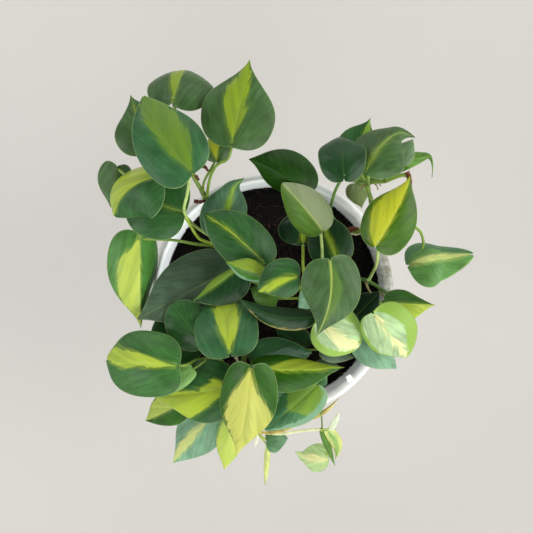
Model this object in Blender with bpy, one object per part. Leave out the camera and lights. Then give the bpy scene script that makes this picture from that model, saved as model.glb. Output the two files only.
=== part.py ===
"""A heart-leaf philodendron with lime-banded leaves, growing in a round white glazed pot.

Every leafy stem is one solid: its vine, the leaf stalks and the heart-shaped blades, joined.
The stems stand in round holes in the soil, and the soil fills the pot.

Lengths are in millimetres here and become metres in the meshes. The origin is the centre of the
pot's flat underside, +Z is up and +Y is the top of the picture. Leaf heights count from the rim.
"""
import math

import bmesh
import bpy
import numpy as np

MM = 0.001

# pot, turned about the Z axis
POT_HEIGHT = 150.0
RIM_RADIUS = 90.0
BASE_RADIUS = 64.0
WALL = 7.0
RIM_ROUNDING = 3.6
FOOT_ROUNDING = 4.0
FLOOR = 8.0
INNER_ROUNDING = 6.0
BLEND = 4.0
POT_SEGMENTS = 40
WALL_STEPS = 5
CORNER_STEPS = 3
RIM_STEPS = 6

# soil
SOIL_BELOW_RIM = 20.0
SEAT_GAP = 0.3
SOIL_RINGS = 5
SOIL_BUMP = 1.2
FACET_CLEARANCE = 0.1

# plant
VINE_RADIUS = 1.9
STALK_RADIUS = 1.1
SLIM_STALK_RADIUS = 0.6
BLADE_THICKNESS = 0.8
STEM_DEPTH = 24.0
HOLE_CLEARANCE = 0.55
HOLE_SIDES = 8
HOLE_RISE = 6.0
VINE_SIDES = 5
STALK_SIDES = 4
STEPS_PER_SPAN = 2
BRANCH_TAPER = 0.9
STALK_REACH = 0.04
KNEE = 2.4
NECK = 5.0

# The plant is laid out by where its leaves appear from straight above: picture units are counted
# right and down from the picture's corner, and the pot's rim is the plane they are scaled on.
UNIT = 0.736
AXIS_AT = (272.0, 295.0)
EYE_AT = (266.5, 266.5)
EYE_HEIGHT = 900.0

# half of the blade's outline as two cubic curves, in widths and lengths of the blade
LOBE_CURVE = ((0.02, -0.01), (0.13, -0.07), (0.455, -0.09), (0.50, 0.26))
PLAIN_FLANK = ((0.50, 0.26), (0.55, 0.64), (0.10, 0.86), (0.0, 1.0))
FULL_FLANK = ((0.50, 0.26), (0.57, 0.74), (0.36, 0.99), (0.0, 1.0))
DRAWN_FLANK = ((0.50, 0.26), (0.56, 0.66), (0.03, 0.74), (0.0, 1.0))
LOBE_SHARE = 0.45
HALF_TURN = math.radians(30.0)
TAIL_FROM = 0.78
BLADE_ROWS = (0.0, 0.18, 0.38, 0.60, 0.84)
SLIVER_ROWS = (0.0, 0.35, 0.70)
SLIVER_BELOW = 12.0
SLIVER_WIDTH = 5.0
WIDE_COLUMNS = (-1.0, -0.5, 0.0, 0.5, 1.0)
NARROW_COLUMNS = (-1.0, 0.0, 1.0)
NARROW_BELOW = 29.0


def leaf(base, tip, heights, width, tilts=(14, 14), bow=0.0, arch=3.0, at=-1, via=(), tail=None,
         form=0.0):
    """One blade and its stalk: picture places of base and tip, their heights, and how it bends.

    tilts are how far the left and right halves hang, in degrees, looking from base to tip; bow is
    the midrib's bend to the left and arch its bend upward, in mm. The stalk leaves the vine point
    at and goes by way of via. tail is how far the tip curls aside, and form runs from -1, a drawn-out
    tip, to 1, a full round one.
    """
    return {"base": base, "tip": tip, "heights": heights, "width": width, "tilts": tilts,
            "bow": bow, "arch": arch, "at": at, "via": via, "tail": tail, "form": form}


STEMS = {
    "stem_upper_left": {
        "vine": ((221, 239, -20), (212, 224, 4), (206, 202, 16), (203, 193, 20), (193, 174, 28),
                 (200, 165, 34), (206, 158, 38)),
        "taper": 0.7,
        "leaves": {
            "over_top": leaf((172, 103), (186, 71), (56, 24), 49, (30, 8), 0, 9, 4, form=0.8),
            "tall": leaf((232, 144), (250, 58), (58, 60), 52, (12, 10), 0, 3, 2,
                         ((210, 178, 34), (217, 165, 44), (228, 158, 52)), form=-0.9),
            "behind": leaf((150, 150), (130, 94), (48, 46), 42, (14, 14), 0, 3, 4, form=-1.0),
            "drooping": leaf((117, 167), (111, 208), (32, 4), 32, (50, 30), 0, 4, 4,
                             ((178, 174, 44), (150, 181, 50), (130, 178, 40))),
            "lime_half": leaf((159, 176), (114, 217), (62, 40), 51, (6, 62), -7, 4, 4, form=1.0),
            "young": leaf((216, 161), (222, 125), (45, 42), 20, (20, 20), 0, 2, 3,
                          ((204, 182, 28), (212, 167, 38))),
        },
    },
    "stem_left": {
        "vine": ((233, 252, -20), (227, 248, -8), (219, 241, -1)),
        "leaves": {
            "crown": leaf((191, 172), (143, 95), (80, 70), 48, (10, 10), 3, 4, 2,
                          ((199, 229, 6), (189, 220, 28), (184, 210, 49), (187, 195, 62),
                           (189, 182, 74)), form=0.2),
            "dark_low": leaf((183, 212), (123, 194), (41, 33), 50, (12, 12), 0, 3, 1,
                             ((204, 241, 6), (197, 236, 14), (189, 223, 30)), form=0.8),
            "outer": leaf((140, 235), (141, 330), (28, 3), 50, (66, 10), 0, 4, 1,
                          ((196, 244, 4), (172, 240, 12)), form=-0.9),
        },
    },
    "stem_centre_left": {
        "vine": ((262, 285, -20), (250, 279, -12), (238, 273, -6), (230, 262, -2)),
        "leaves": {
            "upright": leaf((221, 238), (236, 176), (14, 30), 38, (10, 45), 0, 2, 3, (),
                            (7.0, -1.5, 3.0), -0.3),
            "glossy": leaf((265, 264), (204, 214), (31, 38), 37, (14, 14), -2, 3, 0, form=0.5),
            "slate": leaf((229, 270), (136, 320), (6, 18), 51, (8, 8), 0, 2, 2, form=-0.2),
            "lime_edge": leaf((240, 268), (192, 302), (28, 24), 38, (10, 76), 0, 2, 1),
            "folded": leaf((266, 276), (225, 262), (39, 46), 21, (44, 40), 0, 2, 1),
        },
    },
    "stem_centre": {
        "vine": ((300, 300, -20), (301, 298, -8), (302, 294, 2)),
        "leaves": {
            "half_lime": leaf((298, 277), (258, 292), (52, 46), 29, (16, 16), -3, 2, 2, form=0.2),
            "small_olive": leaf((277, 299), (250, 288), (20, 16), 22, (14, 14), 0, 1, 1),
            "front": leaf((330, 261), (315, 338), (62, 44), 43, (15, 15), 5, 3, 2,
                          ((315, 282, 30), (325, 266, 54)), form=-1.0),
            "twisted": leaf((312, 317), (236, 296), (28, 36), 20, (24, 50), 6, 1, 1, form=-0.7),
            "pale_small": leaf((318, 292), (298, 308), (34, 27), 18, (14, 14), 0, 1, 2),
        },
    },
    "stem_centre_top": {
        "vine": ((318, 258, -20), (317, 250, -8), (314, 236, 2)),
        "leaves": {
            "plain": leaf((305, 195), (248, 159), (34, 40), 44, (62, 18), -3, 3, 2,
                          ((313, 222, 12), (309, 202, 26))),
            "pale": leaf((322, 230), (281, 183), (42, 40), 32, (34, 20), -1, 2, 0,
                         ((318, 272, -4), (321, 279, 14), (322, 268, 31), (322, 248, 34)), form=0.4),
            "dark_wedge": leaf((303, 243), (302, 206), (20, 18), 36, (14, 14), 0, 2, 0,
                               ((312, 272, -12), (305, 277, -6), (303, 266, 4), (303, 254, 12)),
                               form=0.3),
            "behind_front": leaf((338, 262), (316, 210), (26, 22), 34, (14, 14), 0, 3, 0,
                                 ((330, 264, 0), (337, 266, 18))),
        },
    },
    "stem_upper_right": {
        "vine": ((333, 228, -20), (345, 231, -4), (360, 231, 10), (370, 216, 18), (371, 200, 26),
                 (368, 184, 34), (385, 181, 36), (406, 175, 36), (409, 188, 32)),
        "taper": 0.65,
        "leaves": {
            "dark_left": leaf((344, 179), (340, 137), (79, 58), 33, (16, 16), 0, 9, 1,
                              ((331, 214, 20), (333, 198, 44), (337, 187, 62)), form=1.0),
            "spike": leaf((350, 162), (371, 117), (40, 44), 30, (16, 16), 0, 2, 5, form=-1.0),
            "long_band": leaf((366, 172), (411, 129), (66, 60), 45, (48, 8), 6, 4, 5, (),
                              (4.5, -6.0, -4.0), -0.2),
            "tailed": leaf((352, 175), (446, 151), (32, 40), 20, (20, 40), 0, 2, 5, (),
                           (-9.5, -22.0, -6.0), -1.0),
            "peeping": leaf((400, 162), (413, 139), (52, 48), 15, (14, 14), 0, 1, 6),
            "hanging": leaf((357, 184), (362, 209), (23, 4), 19, (16, 16), 0, 1, 5, form=-1.0),
            "far_right": leaf((409, 265), (451, 258), (14, 10), 43, (58, 2), 3, 3, 8,
                              ((411, 208, 22), (414, 225, 16), (421, 233, 10), (423, 246, 6),
                               (415, 261, 9)), (17.0, 3.0, 1.0), 0.9),
        },
    },
    "stem_right": {
        "vine": ((345, 285, -20), (350, 281, -8), (357, 279, 0), (368, 281, 6), (388, 294, 14),
                 (389, 298, 17), (381, 303, 22)),
        "taper": 0.5,
        "leaves": {
            "wide_lime": leaf((376, 246), (411, 174), (52, 58), 39, (12, 20), -2, 3, 3,
                              ((372, 274, 14), (377, 262, 32)), form=-0.8),
            "large_pale": leaf((374, 314), (406, 358), (44, 24), 42, (8, 40), 0, 6, 6, form=0.8),
            "small_pale": leaf((319, 321), (360, 346), (34, 24), 37, (14, 14), 0, 5, 1,
                               ((340, 300, 4), (330, 314, 22)), form=0.8),
            "half_under": leaf((386, 303), (436, 305), (24, 16), 28, (46, 14), 0, 3, 5, form=-0.9),
            "bluish": leaf((358, 336), (397, 369), (14, 9), 28, (10, 10), 0, 3, 1,
                           ((352, 302, -6), (352, 320, 4))),
            "shaded": leaf((354, 318), (380, 291), (-4, -4), 22, (10, 10), 0, 1, 1),
        },
    },
    "stem_lower_left": {
        "vine": ((214, 338, -20), (215, 346, -6), (217, 352, 2), (222, 364, 6)),
        "leaves": {
            "lime_wedge": leaf((230, 354), (222, 297), (40, 16), 46, (12, 12), 0, 6, 1,
                               ((224, 354, 16),), form=1.0),
            "left_wide": leaf((177, 366), (106, 359), (33, 11), 49, (14, 14), 1, 5, 2,
                              ((207, 358, 8), (196, 360, 14), (186, 365, 28)), form=0.9),
            "lime_south": leaf((232, 388), (153, 397), (22, 13), 47, (10, 10), 0, 3, 3, form=-0.4),
            "left_shade": leaf((200, 352), (157, 318), (5, 4), 38, (6, 6), 0, 1, 0, form=1.0),
            "left_lobe": leaf((203, 345), (172, 303), (15, 20), 32, (14, 14), 0, 4, 1, form=1.0),
            "thin_pale": leaf((192, 370), (157, 396), (28, 20), 14, (12, 12), 0, 2, 2),
            "low_lime": leaf((184, 402), (145, 421), (6, -14), 27, (12, 12), 0, 3, 3,
                             ((205, 388, 8),), form=-0.2),
        },
    },
    "stem_lower": {
        "vine": ((248, 348, -20), (243, 362, -8), (238, 384, 3), (233, 402, 3), (230, 413, 3)),
        "leaves": {
            "great_lime": leaf((251, 368), (235, 458), (48, 12), 43, (16, 22), 2, 6, 1,
                               ((247, 368, 18), (248, 368, 38)), form=-1.0),
            "under_lime": leaf((235, 416), (224, 470), (7, -22), 22, (16, 16), 0, 4, 4, form=-0.3),
            "corner": leaf((209, 416), (172, 464), (-10, -36), 38, (14, 36), 0, 4, 4, form=-0.6),
        },
    },
    "stem_lower_right": {
        "vine": ((280, 350, -20), (276, 354, -8), (268, 360, 2)),
        "leaves": {
            "long_lime": leaf((255, 368), (346, 367), (30, 19), 35, (60, 10), -1, 3, 2, form=-0.9),
            "sheen": leaf((252, 362), (313, 352), (3, 2), 32, (8, 22), 0, 2, 2),
            "low_shade": leaf((307, 347), (276, 330), (-4, -2), 22, (10, 10), 0, 1, 0),
            "slate_strip": leaf((322, 349), (354, 358), (6, 2), 16, (10, 10), 0, 1, 0),
            "low_strip": leaf((316, 366), (342, 368), (-6, -6), 11, (10, 10), 0, 1, 0),
            "round_shade": leaf((311, 374), (327, 385), (2, 1), 20, (10, 10), 0, 1, 1),
        },
    },
    "stem_trailing": {
        "vine": ((300, 366, -20), (299, 380, -4), (300, 393, 4), (301, 405, 5), (300, 415, 0),
                 (294, 425, -14), (284, 430, -25), (271, 433, -30), (257, 432, -32)),
        "taper": 0.6,
        "branch": (8, ((280, 434, -33), (300, 431, -34), (321, 429, -35))),
        "leaves": {
            "pleated": leaf((317, 385), (264, 431), (15, 6), 34, (10, 10), 0, 4, 1),
            "lower_blue": leaf((267, 441), (288, 438), (-34, -40), 20, (12, 12), 0, 2, 8,
                               ((262, 437, -33),)),
            "spindle": leaf((268, 446), (265, 486), (-38, -58), 5, (25, 25), 0, 2, 8,
                            ((263, 440, -34),)),
            "white_sheath": leaf((257, 435), (255, 447), (-32, -40), 4, (20, 20), 0, 1, 8),
            "dark_fold": leaf((322, 431), (335, 466), (-36, -56), 8, (50, 50), 0, 2, 3,
                              ((317, 399, 7), (321, 413, -2), (322, 423, -24))),
            "pale_fold": leaf((328, 431), (335, 459), (-34, -54), 11, (30, 30), 4, 2, -1),
            "pale_up": leaf((331, 430), (340, 411), (-32, -22), 5, (20, 20), 0, 1, -1),
            "shoot": leaf((300, 419), (339, 397), (-14, 3), 4, (20, 20), -4, 2, 5),
            "bottom_lime": leaf((328, 459), (298, 455), (-68, -72), 24, (16, 16), 0, 3, -1,
                                ((331, 444, -58),), (-3.0, 4.0, 3.0)),
        },
    },
}


def placed(point):
    """World place of a picture point at a height above the rim: along the sight line to the eye."""
    across, down, height = point
    eye = np.array([UNIT * (EYE_AT[0] - AXIS_AT[0]), UNIT * (AXIS_AT[1] - EYE_AT[1])])
    plan = np.array([UNIT * (across - AXIS_AT[0]), UNIT * (AXIS_AT[1] - down)])
    seen = eye + (plan - eye) * (EYE_HEIGHT - height) / EYE_HEIGHT
    return np.array([seen[0], seen[1], POT_HEIGHT + height])


def unit(vectors):
    """Vectors of length one."""
    return vectors / np.linalg.norm(vectors, axis=-1, keepdims=True)


def cubic(corners, share):
    """Points of a cubic Bezier curve."""
    first, second, third, last = [np.array(corner) for corner in corners]
    s = np.asarray(share)[..., None]
    return ((1 - s) ** 3 * first + 3 * s * (1 - s) ** 2 * second
            + 3 * s ** 2 * (1 - s) * third + s ** 3 * last)


def outline(form, b):
    """Half of the heart's margin from the notch (b = 0) round the lobe to the tip (b = 1).

    The flank is the plain one, mixed with the full or the drawn-out one by the blade's form.
    """
    lobe = cubic(LOBE_CURVE, np.clip(b / LOBE_SHARE, 0.0, 1.0))
    other = FULL_FLANK if form > 0 else DRAWN_FLANK
    curve = np.array(PLAIN_FLANK) * (1.0 - abs(form)) + np.array(other) * abs(form)
    flank = cubic(curve, np.clip((b - LOBE_SHARE) / (1.0 - LOBE_SHARE), 0.0, 1.0))
    margin = np.where((b < LOBE_SHARE)[..., None], lobe, flank)
    return margin[..., 0], margin[..., 1]


def midrib(blade, t):
    """Points along the midrib: the straight line from base to tip, bent up, sideways and curled."""
    start = placed((*blade["base"], blade["heights"][0]))
    end = placed((*blade["tip"], blade["heights"][1]))
    chord = end - start
    left = unit(np.cross((0.0, 0.0, 1.0), chord))
    up = np.cross(unit(chord), left)
    t = np.asarray(t, dtype=float)[..., None]
    bend = 4.0 * t * (1.0 - t)
    line = start + chord * t + (blade["arch"] * up + blade["bow"] * left) * bend
    if blade["tail"]:
        line = line + np.array(blade["tail"]) * np.clip((t - TAIL_FROM) / (1.0 - TAIL_FROM), 0.0, 1.0) ** 2
    return line


def blade_surface(blade, a, b):
    """The blade's middle surface: a runs -1..1 across it (left half positive), b from notch to tip.

    Each half leaves the midrib along an arc: at its outer end it has turned down by HALF_TURN
    more than at the midrib, so the blade is domed along its length.
    """
    half = np.abs(a)
    wide, far = outline(blade["form"], b)
    foot = b ** 1.5
    t = foot + (far - foot) * half
    step = 0.01
    along = unit(midrib(blade, t + step) - midrib(blade, t - step))
    left = unit(np.cross(np.broadcast_to((0.0, 0.0, 1.0), along.shape), along))
    up = np.cross(along, left)
    lean = np.where(a > 0, math.radians(blade["tilts"][0]), math.radians(blade["tilts"][1]))
    lean = lean - HALF_TURN / 2.0
    reach = wide * blade["width"] / HALF_TURN
    sideways = reach * (np.sin(lean + HALF_TURN * half) - np.sin(lean)) * np.sign(a)
    hang = reach * (np.cos(lean + HALF_TURN * half) - np.cos(lean))
    return midrib(blade, t) + left * sideways[..., None] + up * hang[..., None]


def smooth_path(points, steps):
    """A Catmull-Rom curve through the points, with so many steps to each span."""
    points = np.asarray(points, dtype=float)
    padded = np.vstack([2 * points[0] - points[1], points, 2 * points[-1] - points[-2]])
    path = []
    for span in range(len(points) - 1):
        before, start, end, after = padded[span:span + 4]
        for s in np.linspace(0.0, 1.0, steps, endpoint=False):
            path.append(0.5 * (2 * start + (end - before) * s
                               + (2 * before - 5 * start + 4 * end - after) * s ** 2
                               + (3 * start - before - 3 * end + after) * s ** 3))
    path.append(points[-1])
    return np.array(path)


def tube(path, radii, sides):
    """A closed round bar along a path, its rings carried along without twisting."""
    along = unit(np.gradient(path, axis=0))
    across = unit(np.cross(along[0], (0.31, 0.95, 0.02)))
    angles = np.linspace(0.0, 2.0 * math.pi, sides, endpoint=False)
    rings = []
    for centre, heading, radius in zip(path, along, np.broadcast_to(radii, len(path))):
        across = unit(across - heading * np.dot(across, heading))
        other = np.cross(heading, across)
        rings.append(centre + radius * (np.outer(np.cos(angles), across)
                                        + np.outer(np.sin(angles), other)))
    faces = [tuple(range(sides))[::-1], tuple((len(path) - 1) * sides + i for i in range(sides))]
    for ring in range(len(path) - 1):
        for i in range(sides):
            near, far = ring * sides, (ring + 1) * sides
            j = (i + 1) % sides
            faces.append((near + i, near + j, far + j, far + i))
    return np.vstack(rings), faces


def blade_solid(blade):
    """The blade as a thin closed solid: two like-triangulated faces and the edge between them."""
    across_it = NARROW_COLUMNS if blade["width"] < NARROW_BELOW else WIDE_COLUMNS
    along_it = SLIVER_ROWS if blade["width"] < SLIVER_BELOW else BLADE_ROWS
    rows, columns = len(along_it), len(across_it)
    b, a = np.meshgrid(along_it, across_it, indexing="ij")
    nudge = 0.01
    middle = blade_surface(blade, a, b)
    outward = np.clip(a + nudge, -1.0, 1.0)
    inward = np.clip(a - nudge, -1.0, 1.0)
    across = blade_surface(blade, outward, b) - blade_surface(blade, inward, b)
    ahead = blade_surface(blade, a, np.clip(b + nudge, 0, 0.99)) - blade_surface(
        blade, a, np.clip(b - nudge, 0.0, 1.0))
    normal = unit(np.cross(ahead, across))
    # at the notch the rows bunch up, so its normals follow the next row's
    normal[0] = normal[1]
    tip = midrib(blade, 1.0)
    tip_normal = normal[-1, columns // 2]
    offset = normal.reshape(-1, 3) * BLADE_THICKNESS / 2.0
    flat = middle.reshape(-1, 3)
    tip_offset = tip_normal * BLADE_THICKNESS / 2.0
    points = np.vstack([flat + offset, tip + tip_offset, flat - offset, tip - tip_offset])
    count = rows * columns + 1
    top = []
    for row in range(rows - 1):
        for column in range(columns - 1):
            here = row * columns + column
            above = here + columns
            if column < columns // 2:
                top += [(here, here + 1, above + 1), (here, above + 1, above)]
            else:
                top += [(here, here + 1, above), (here + 1, above + 1, above)]
    last = (rows - 1) * columns
    top += [(last + column, last + column + 1, count - 1) for column in range(columns - 1)]
    under = [tuple(count + corner for corner in reversed(face)) for face in top]
    rim = list(range(columns)) + [row * columns + columns - 1 for row in range(1, rows)]
    rim += [count - 1] + [row * columns for row in range(rows - 1, 0, -1)]
    edge = []
    for here, after in zip(rim, rim[1:] + rim[:1]):
        edge += [(after, here, count + here), (after, count + here, count + after)]
    return points, top + under + edge


def stalk_radius(blade):
    """A stalk's radius: slim on the smallest leaves, full from narrow ones up."""
    return np.interp(blade["width"], (SLIVER_WIDTH, NARROW_BELOW), (SLIM_STALK_RADIUS, STALK_RADIUS))


def stalk_solid(blade, node):
    """The leaf stalk: from the vine, through its own points, into the root of the midrib."""
    end = midrib(blade, STALK_REACH)
    ahead = unit(midrib(blade, 2.0 * STALK_REACH) - midrib(blade, 0.0))
    left = unit(np.cross((0.0, 0.0, 1.0), ahead))
    under = np.cross(left, ahead)
    route = [node] + [placed(point) for point in blade["via"]]
    if not blade["via"]:
        rise = end - node
        route.append(node + rise * (0.45, 0.45, 0.62))
    route += [end + KNEE * under, end]
    steps = 1 if len(blade["via"]) > 1 else STEPS_PER_SPAN
    return tube(smooth_path(route, steps), stalk_radius(blade), STALK_SIDES)


def vine_points(stem):
    """The vine's points in the world, starting deep in the soil."""
    points = [placed(point) for point in stem["vine"]]
    root = points[0] - (0.0, 0.0, STEM_DEPTH)
    neck = points[0] + (0.0, 0.0, NECK)
    return [root, points[0], neck] + points[1:]


def stem_solids(stem):
    """Every simple solid of a stem, by name, before they are joined: points and faces."""
    points = vine_points(stem)
    path = smooth_path(points, STEPS_PER_SPAN)
    end_radius = VINE_RADIUS * stem.get("taper", 1.0)
    radii = np.linspace(VINE_RADIUS, end_radius, len(path))
    solids = {"vine": tube(path, radii, VINE_SIDES)}
    nodes = [points[1]] + points[3:]
    if "branch" in stem:
        start, side = stem["branch"]
        side_points = [nodes[start]] + [placed(point) for point in side]
        path = smooth_path(side_points, STEPS_PER_SPAN)
        solids["branch"] = tube(path, end_radius * BRANCH_TAPER, VINE_SIDES)
    for name, blade in stem["leaves"].items():
        node = nodes[blade["at"]]
        if blade["at"] < 0 and "branch" in stem:
            node = side_points[blade["at"]]
        solids["stalk_" + name] = stalk_solid(blade, node)
        solids["blade_" + name] = blade_solid(blade)
    return solids


def material(name, colour, roughness):
    """A plain Principled finish."""
    finish = bpy.data.materials.new(name)
    finish.use_nodes = True
    shader = finish.node_tree.nodes["Principled BSDF"]
    shader.inputs["Base Color"].default_value = (*colour, 1.0)
    shader.inputs["Roughness"].default_value = roughness
    return finish


def mesh_object(name, points, faces, finish=None):
    """An object from points in millimetres, with its faces turned outward."""
    mesh = bpy.data.meshes.new(name)
    mesh.from_pydata((np.asarray(points) * MM).tolist(), [], faces)
    work = bmesh.new()
    work.from_mesh(mesh)
    bmesh.ops.recalc_face_normals(work, faces=work.faces)
    work.to_mesh(mesh)
    work.free()
    thing = bpy.data.objects.new(name, mesh)
    if finish:
        mesh.materials.append(finish)
    return thing


def bake_modifiers(thing):
    """Apply an object's modifiers to its mesh."""
    bpy.context.view_layer.update()
    graph = bpy.context.evaluated_depsgraph_get()
    mesh = bpy.data.meshes.new_from_object(thing.evaluated_get(graph))
    thing.modifiers.clear()
    thing.data = mesh


def turned(name, profile, segments, finish, wave=None):
    """A closed solid turned about Z from a profile of (radius, height) points, its ends capped.

    wave, where given, lifts each point by a function of its x, y and z.
    """
    turn = np.linspace(0.0, 2.0 * math.pi, segments, endpoint=False)
    radius, height = np.array(profile).T
    points = np.stack([np.outer(radius, np.cos(turn)), np.outer(radius, np.sin(turn)),
                       np.repeat(height[:, None], segments, axis=1)], axis=-1)
    if wave:
        points[..., 2] += wave(points[..., 0], points[..., 1], points[..., 2])
    faces = [tuple(range(segments))[::-1]]
    for ring in range(len(profile) - 1):
        for i in range(segments):
            near, far = ring * segments, (ring + 1) * segments
            j = (i + 1) % segments
            faces.append((near + i, near + j, far + j, far + i))
    faces.append(tuple((len(profile) - 1) * segments + i for i in range(segments)))
    return mesh_object(name, points.reshape(-1, 3), faces, finish)


def arc(centre, radius, start, end, steps):
    """Points on an arc in the profile plane, angles in degrees from the outward direction."""
    angles = np.radians(np.linspace(start, end, steps))
    return [(centre[0] + radius * math.cos(angle), centre[1] + radius * math.sin(angle))
            for angle in angles]


def outer_radius(height):
    """The pot's outside radius at a height: a cone with a slight swell."""
    share = height / POT_HEIGHT
    return BASE_RADIUS + (RIM_RADIUS - BASE_RADIUS) * share ** 0.8


def inner_radius(height):
    """The inside radius, one wall in from the outside."""
    return outer_radius(height) - WALL


def wall_line(radius_at, start, end):
    """Profile points up or down a wall, whose radius is a function of the height."""
    return [(radius_at(height), height) for height in np.linspace(start, end, WALL_STEPS)]


def make_pot(finish):
    """The pot: flat underside, rounded foot, swelling wall, soft rim and a deep round inside."""
    crown = POT_HEIGHT - RIM_ROUNDING
    bottom = FLOOR + INNER_ROUNDING
    profile = arc((BASE_RADIUS - FOOT_ROUNDING, FOOT_ROUNDING), FOOT_ROUNDING, -90, 0, CORNER_STEPS)
    profile += wall_line(outer_radius, FOOT_ROUNDING + BLEND, crown - BLEND)
    profile += arc((RIM_RADIUS - RIM_ROUNDING, crown), RIM_ROUNDING, 0, 180, RIM_STEPS)
    profile += wall_line(inner_radius, crown - BLEND, bottom + BLEND)
    corner = inner_radius(bottom) - INNER_ROUNDING
    profile += arc((corner, bottom), INNER_ROUNDING, 0, -90, CORNER_STEPS)
    pot = turned("pot", profile, POT_SEGMENTS, finish)
    bpy.context.collection.objects.link(pot)
    return pot


def soil_relief(x, y, z):
    """Low rolling bumps on the soil's top, fading to nothing at its edge and below it."""
    away = np.clip(1.0 - (np.hypot(x, y) / (RIM_RADIUS - WALL)) ** 4, 0.0, 1.0)
    bumps = np.sin(x / 9.0 + 1.3) * np.cos(y / 11.0 - 0.4) + 0.6 * np.sin((x + 2 * y) / 13.0)
    top = z > POT_HEIGHT - SOIL_BELOW_RIM - SOIL_BUMP / 2.0
    return np.where(top, SOIL_BUMP * bumps * away, 0.0)


def soil_radius(height):
    """The soil's radius: clear of the inside wall, also where both are flat between their corners."""
    return inner_radius(height) - SEAT_GAP - FACET_CLEARANCE


def make_soil(finish):
    """The soil: a plug that fills the pot's inside, a gap's width clear of it, with stem holes."""
    top = POT_HEIGHT - SOIL_BELOW_RIM
    bottom = FLOOR + INNER_ROUNDING
    corner = inner_radius(bottom) - INNER_ROUNDING
    profile = arc((corner, bottom), INNER_ROUNDING - SEAT_GAP, -90, 0, CORNER_STEPS)
    profile += wall_line(soil_radius, bottom + BLEND, top - 1.0)
    profile += [(soil_radius(top) * ring / SOIL_RINGS, top) for ring in range(SOIL_RINGS, 0, -1)]
    soil = turned("soil", profile, POT_SEGMENTS, finish, soil_relief)
    bpy.context.collection.objects.link(soil)
    holes = bpy.data.collections.new("stem_holes")
    for name, stem in STEMS.items():
        root, mouth = vine_points(stem)[:2]
        path = np.array([root - (0.0, 0.0, SEAT_GAP), mouth + (0.0, 0.0, HOLE_RISE)])
        points, faces = tube(path, VINE_RADIUS + HOLE_CLEARANCE, HOLE_SIDES)
        holes.objects.link(mesh_object("hole_" + name, points, faces))
    cut = soil.modifiers.new("holes", "BOOLEAN")
    cut.operand_type = "COLLECTION"
    cut.collection = holes
    cut.operation = "DIFFERENCE"
    cut.solver = "EXACT"
    bake_modifiers(soil)
    remove_collection(holes)
    soil.data.materials.clear()
    soil.data.materials.append(finish)
    return soil


def remove_collection(group):
    """Drop a collection with its objects."""
    for thing in list(group.objects):
        bpy.data.objects.remove(thing)
    bpy.data.collections.remove(group)


def keep_main_shell(thing):
    """Drop the scraps and fill the tiny sealed pockets that joining leaves: keep the main shell."""
    work = bmesh.new()
    work.from_mesh(thing.data)
    waiting = set(work.faces)
    main = set()
    while waiting:
        shell = set()
        edge = {waiting.pop()}
        while edge:
            face = edge.pop()
            shell.add(face)
            near = {other for side in face.edges for other in side.link_faces} & waiting
            waiting -= near
            edge |= near
        main = max(main, shell, key=len)
    scraps = [face for face in work.faces if face not in main]
    bmesh.ops.delete(work, geom=scraps, context="FACES")
    work.to_mesh(thing.data)
    work.free()


def make_stem(name, stem, finish):
    """A leafy stem as one body: vine, stalks and blades joined."""
    solids = stem_solids(stem)
    vine = mesh_object(name, *solids.pop("vine"), finish)
    bpy.context.collection.objects.link(vine)
    pieces = bpy.data.collections.new(name + "_pieces")
    for piece, (points, faces) in solids.items():
        pieces.objects.link(mesh_object(piece, points, faces))
    join = vine.modifiers.new("join", "BOOLEAN")
    join.operand_type = "COLLECTION"
    join.collection = pieces
    join.operation = "UNION"
    # the exact solver fails on some of these many thin crossing leaves
    join.solver = "MANIFOLD"
    bake_modifiers(vine)
    keep_main_shell(vine)
    remove_collection(pieces)
    vine.data.materials.clear()
    vine.data.materials.append(finish)
    return vine


def main():
    """Clear the file and build the potted plant."""
    for thing in list(bpy.data.objects):
        bpy.data.objects.remove(thing)
    glaze = material("white_glaze", (0.86, 0.87, 0.86), 0.12)
    earth = material("potting_soil", (0.02, 0.015, 0.012), 0.95)
    pot = make_pot(glaze)
    soil = make_soil(earth)
    for thing in (pot, soil):
        thing.data.shade_smooth()
        thing.data.set_sharp_from_angle(angle=math.radians(35))
    for name, stem in STEMS.items():
        leafy = material(name.replace("stem", "foliage"), (0.05, 0.16, 0.05), 0.4)
        make_stem(name, stem, leafy)


main()
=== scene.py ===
"""The looks of a heart-leaf philodendron with lime-banded leaves in a white glazed pot.

Lengths are in millimetres, as in the part's own source, and become metres in the meshes. Every
leafy stem is two pieces: its vine with the leaf stalks, and its blades. A blade is a surface of
two parameters: a, from -1 to 1 across it, and b, from the notch round the lobe (0) to the tip (1).
"""
import math

import bpy
import numpy as np
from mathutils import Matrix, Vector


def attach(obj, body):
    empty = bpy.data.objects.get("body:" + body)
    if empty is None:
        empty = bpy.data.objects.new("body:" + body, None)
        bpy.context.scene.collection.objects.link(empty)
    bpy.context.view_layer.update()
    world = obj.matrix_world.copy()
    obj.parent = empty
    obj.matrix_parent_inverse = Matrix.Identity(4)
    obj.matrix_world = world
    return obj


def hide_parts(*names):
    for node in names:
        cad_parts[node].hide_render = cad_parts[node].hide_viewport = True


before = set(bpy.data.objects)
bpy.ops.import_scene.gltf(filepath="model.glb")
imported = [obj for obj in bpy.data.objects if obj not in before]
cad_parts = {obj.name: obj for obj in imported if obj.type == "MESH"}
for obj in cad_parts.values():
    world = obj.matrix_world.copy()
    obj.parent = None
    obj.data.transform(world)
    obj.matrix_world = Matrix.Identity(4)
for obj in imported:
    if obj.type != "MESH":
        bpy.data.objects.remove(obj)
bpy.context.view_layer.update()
MM = 0.001
DRAWS = np.random.default_rng(7)

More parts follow.
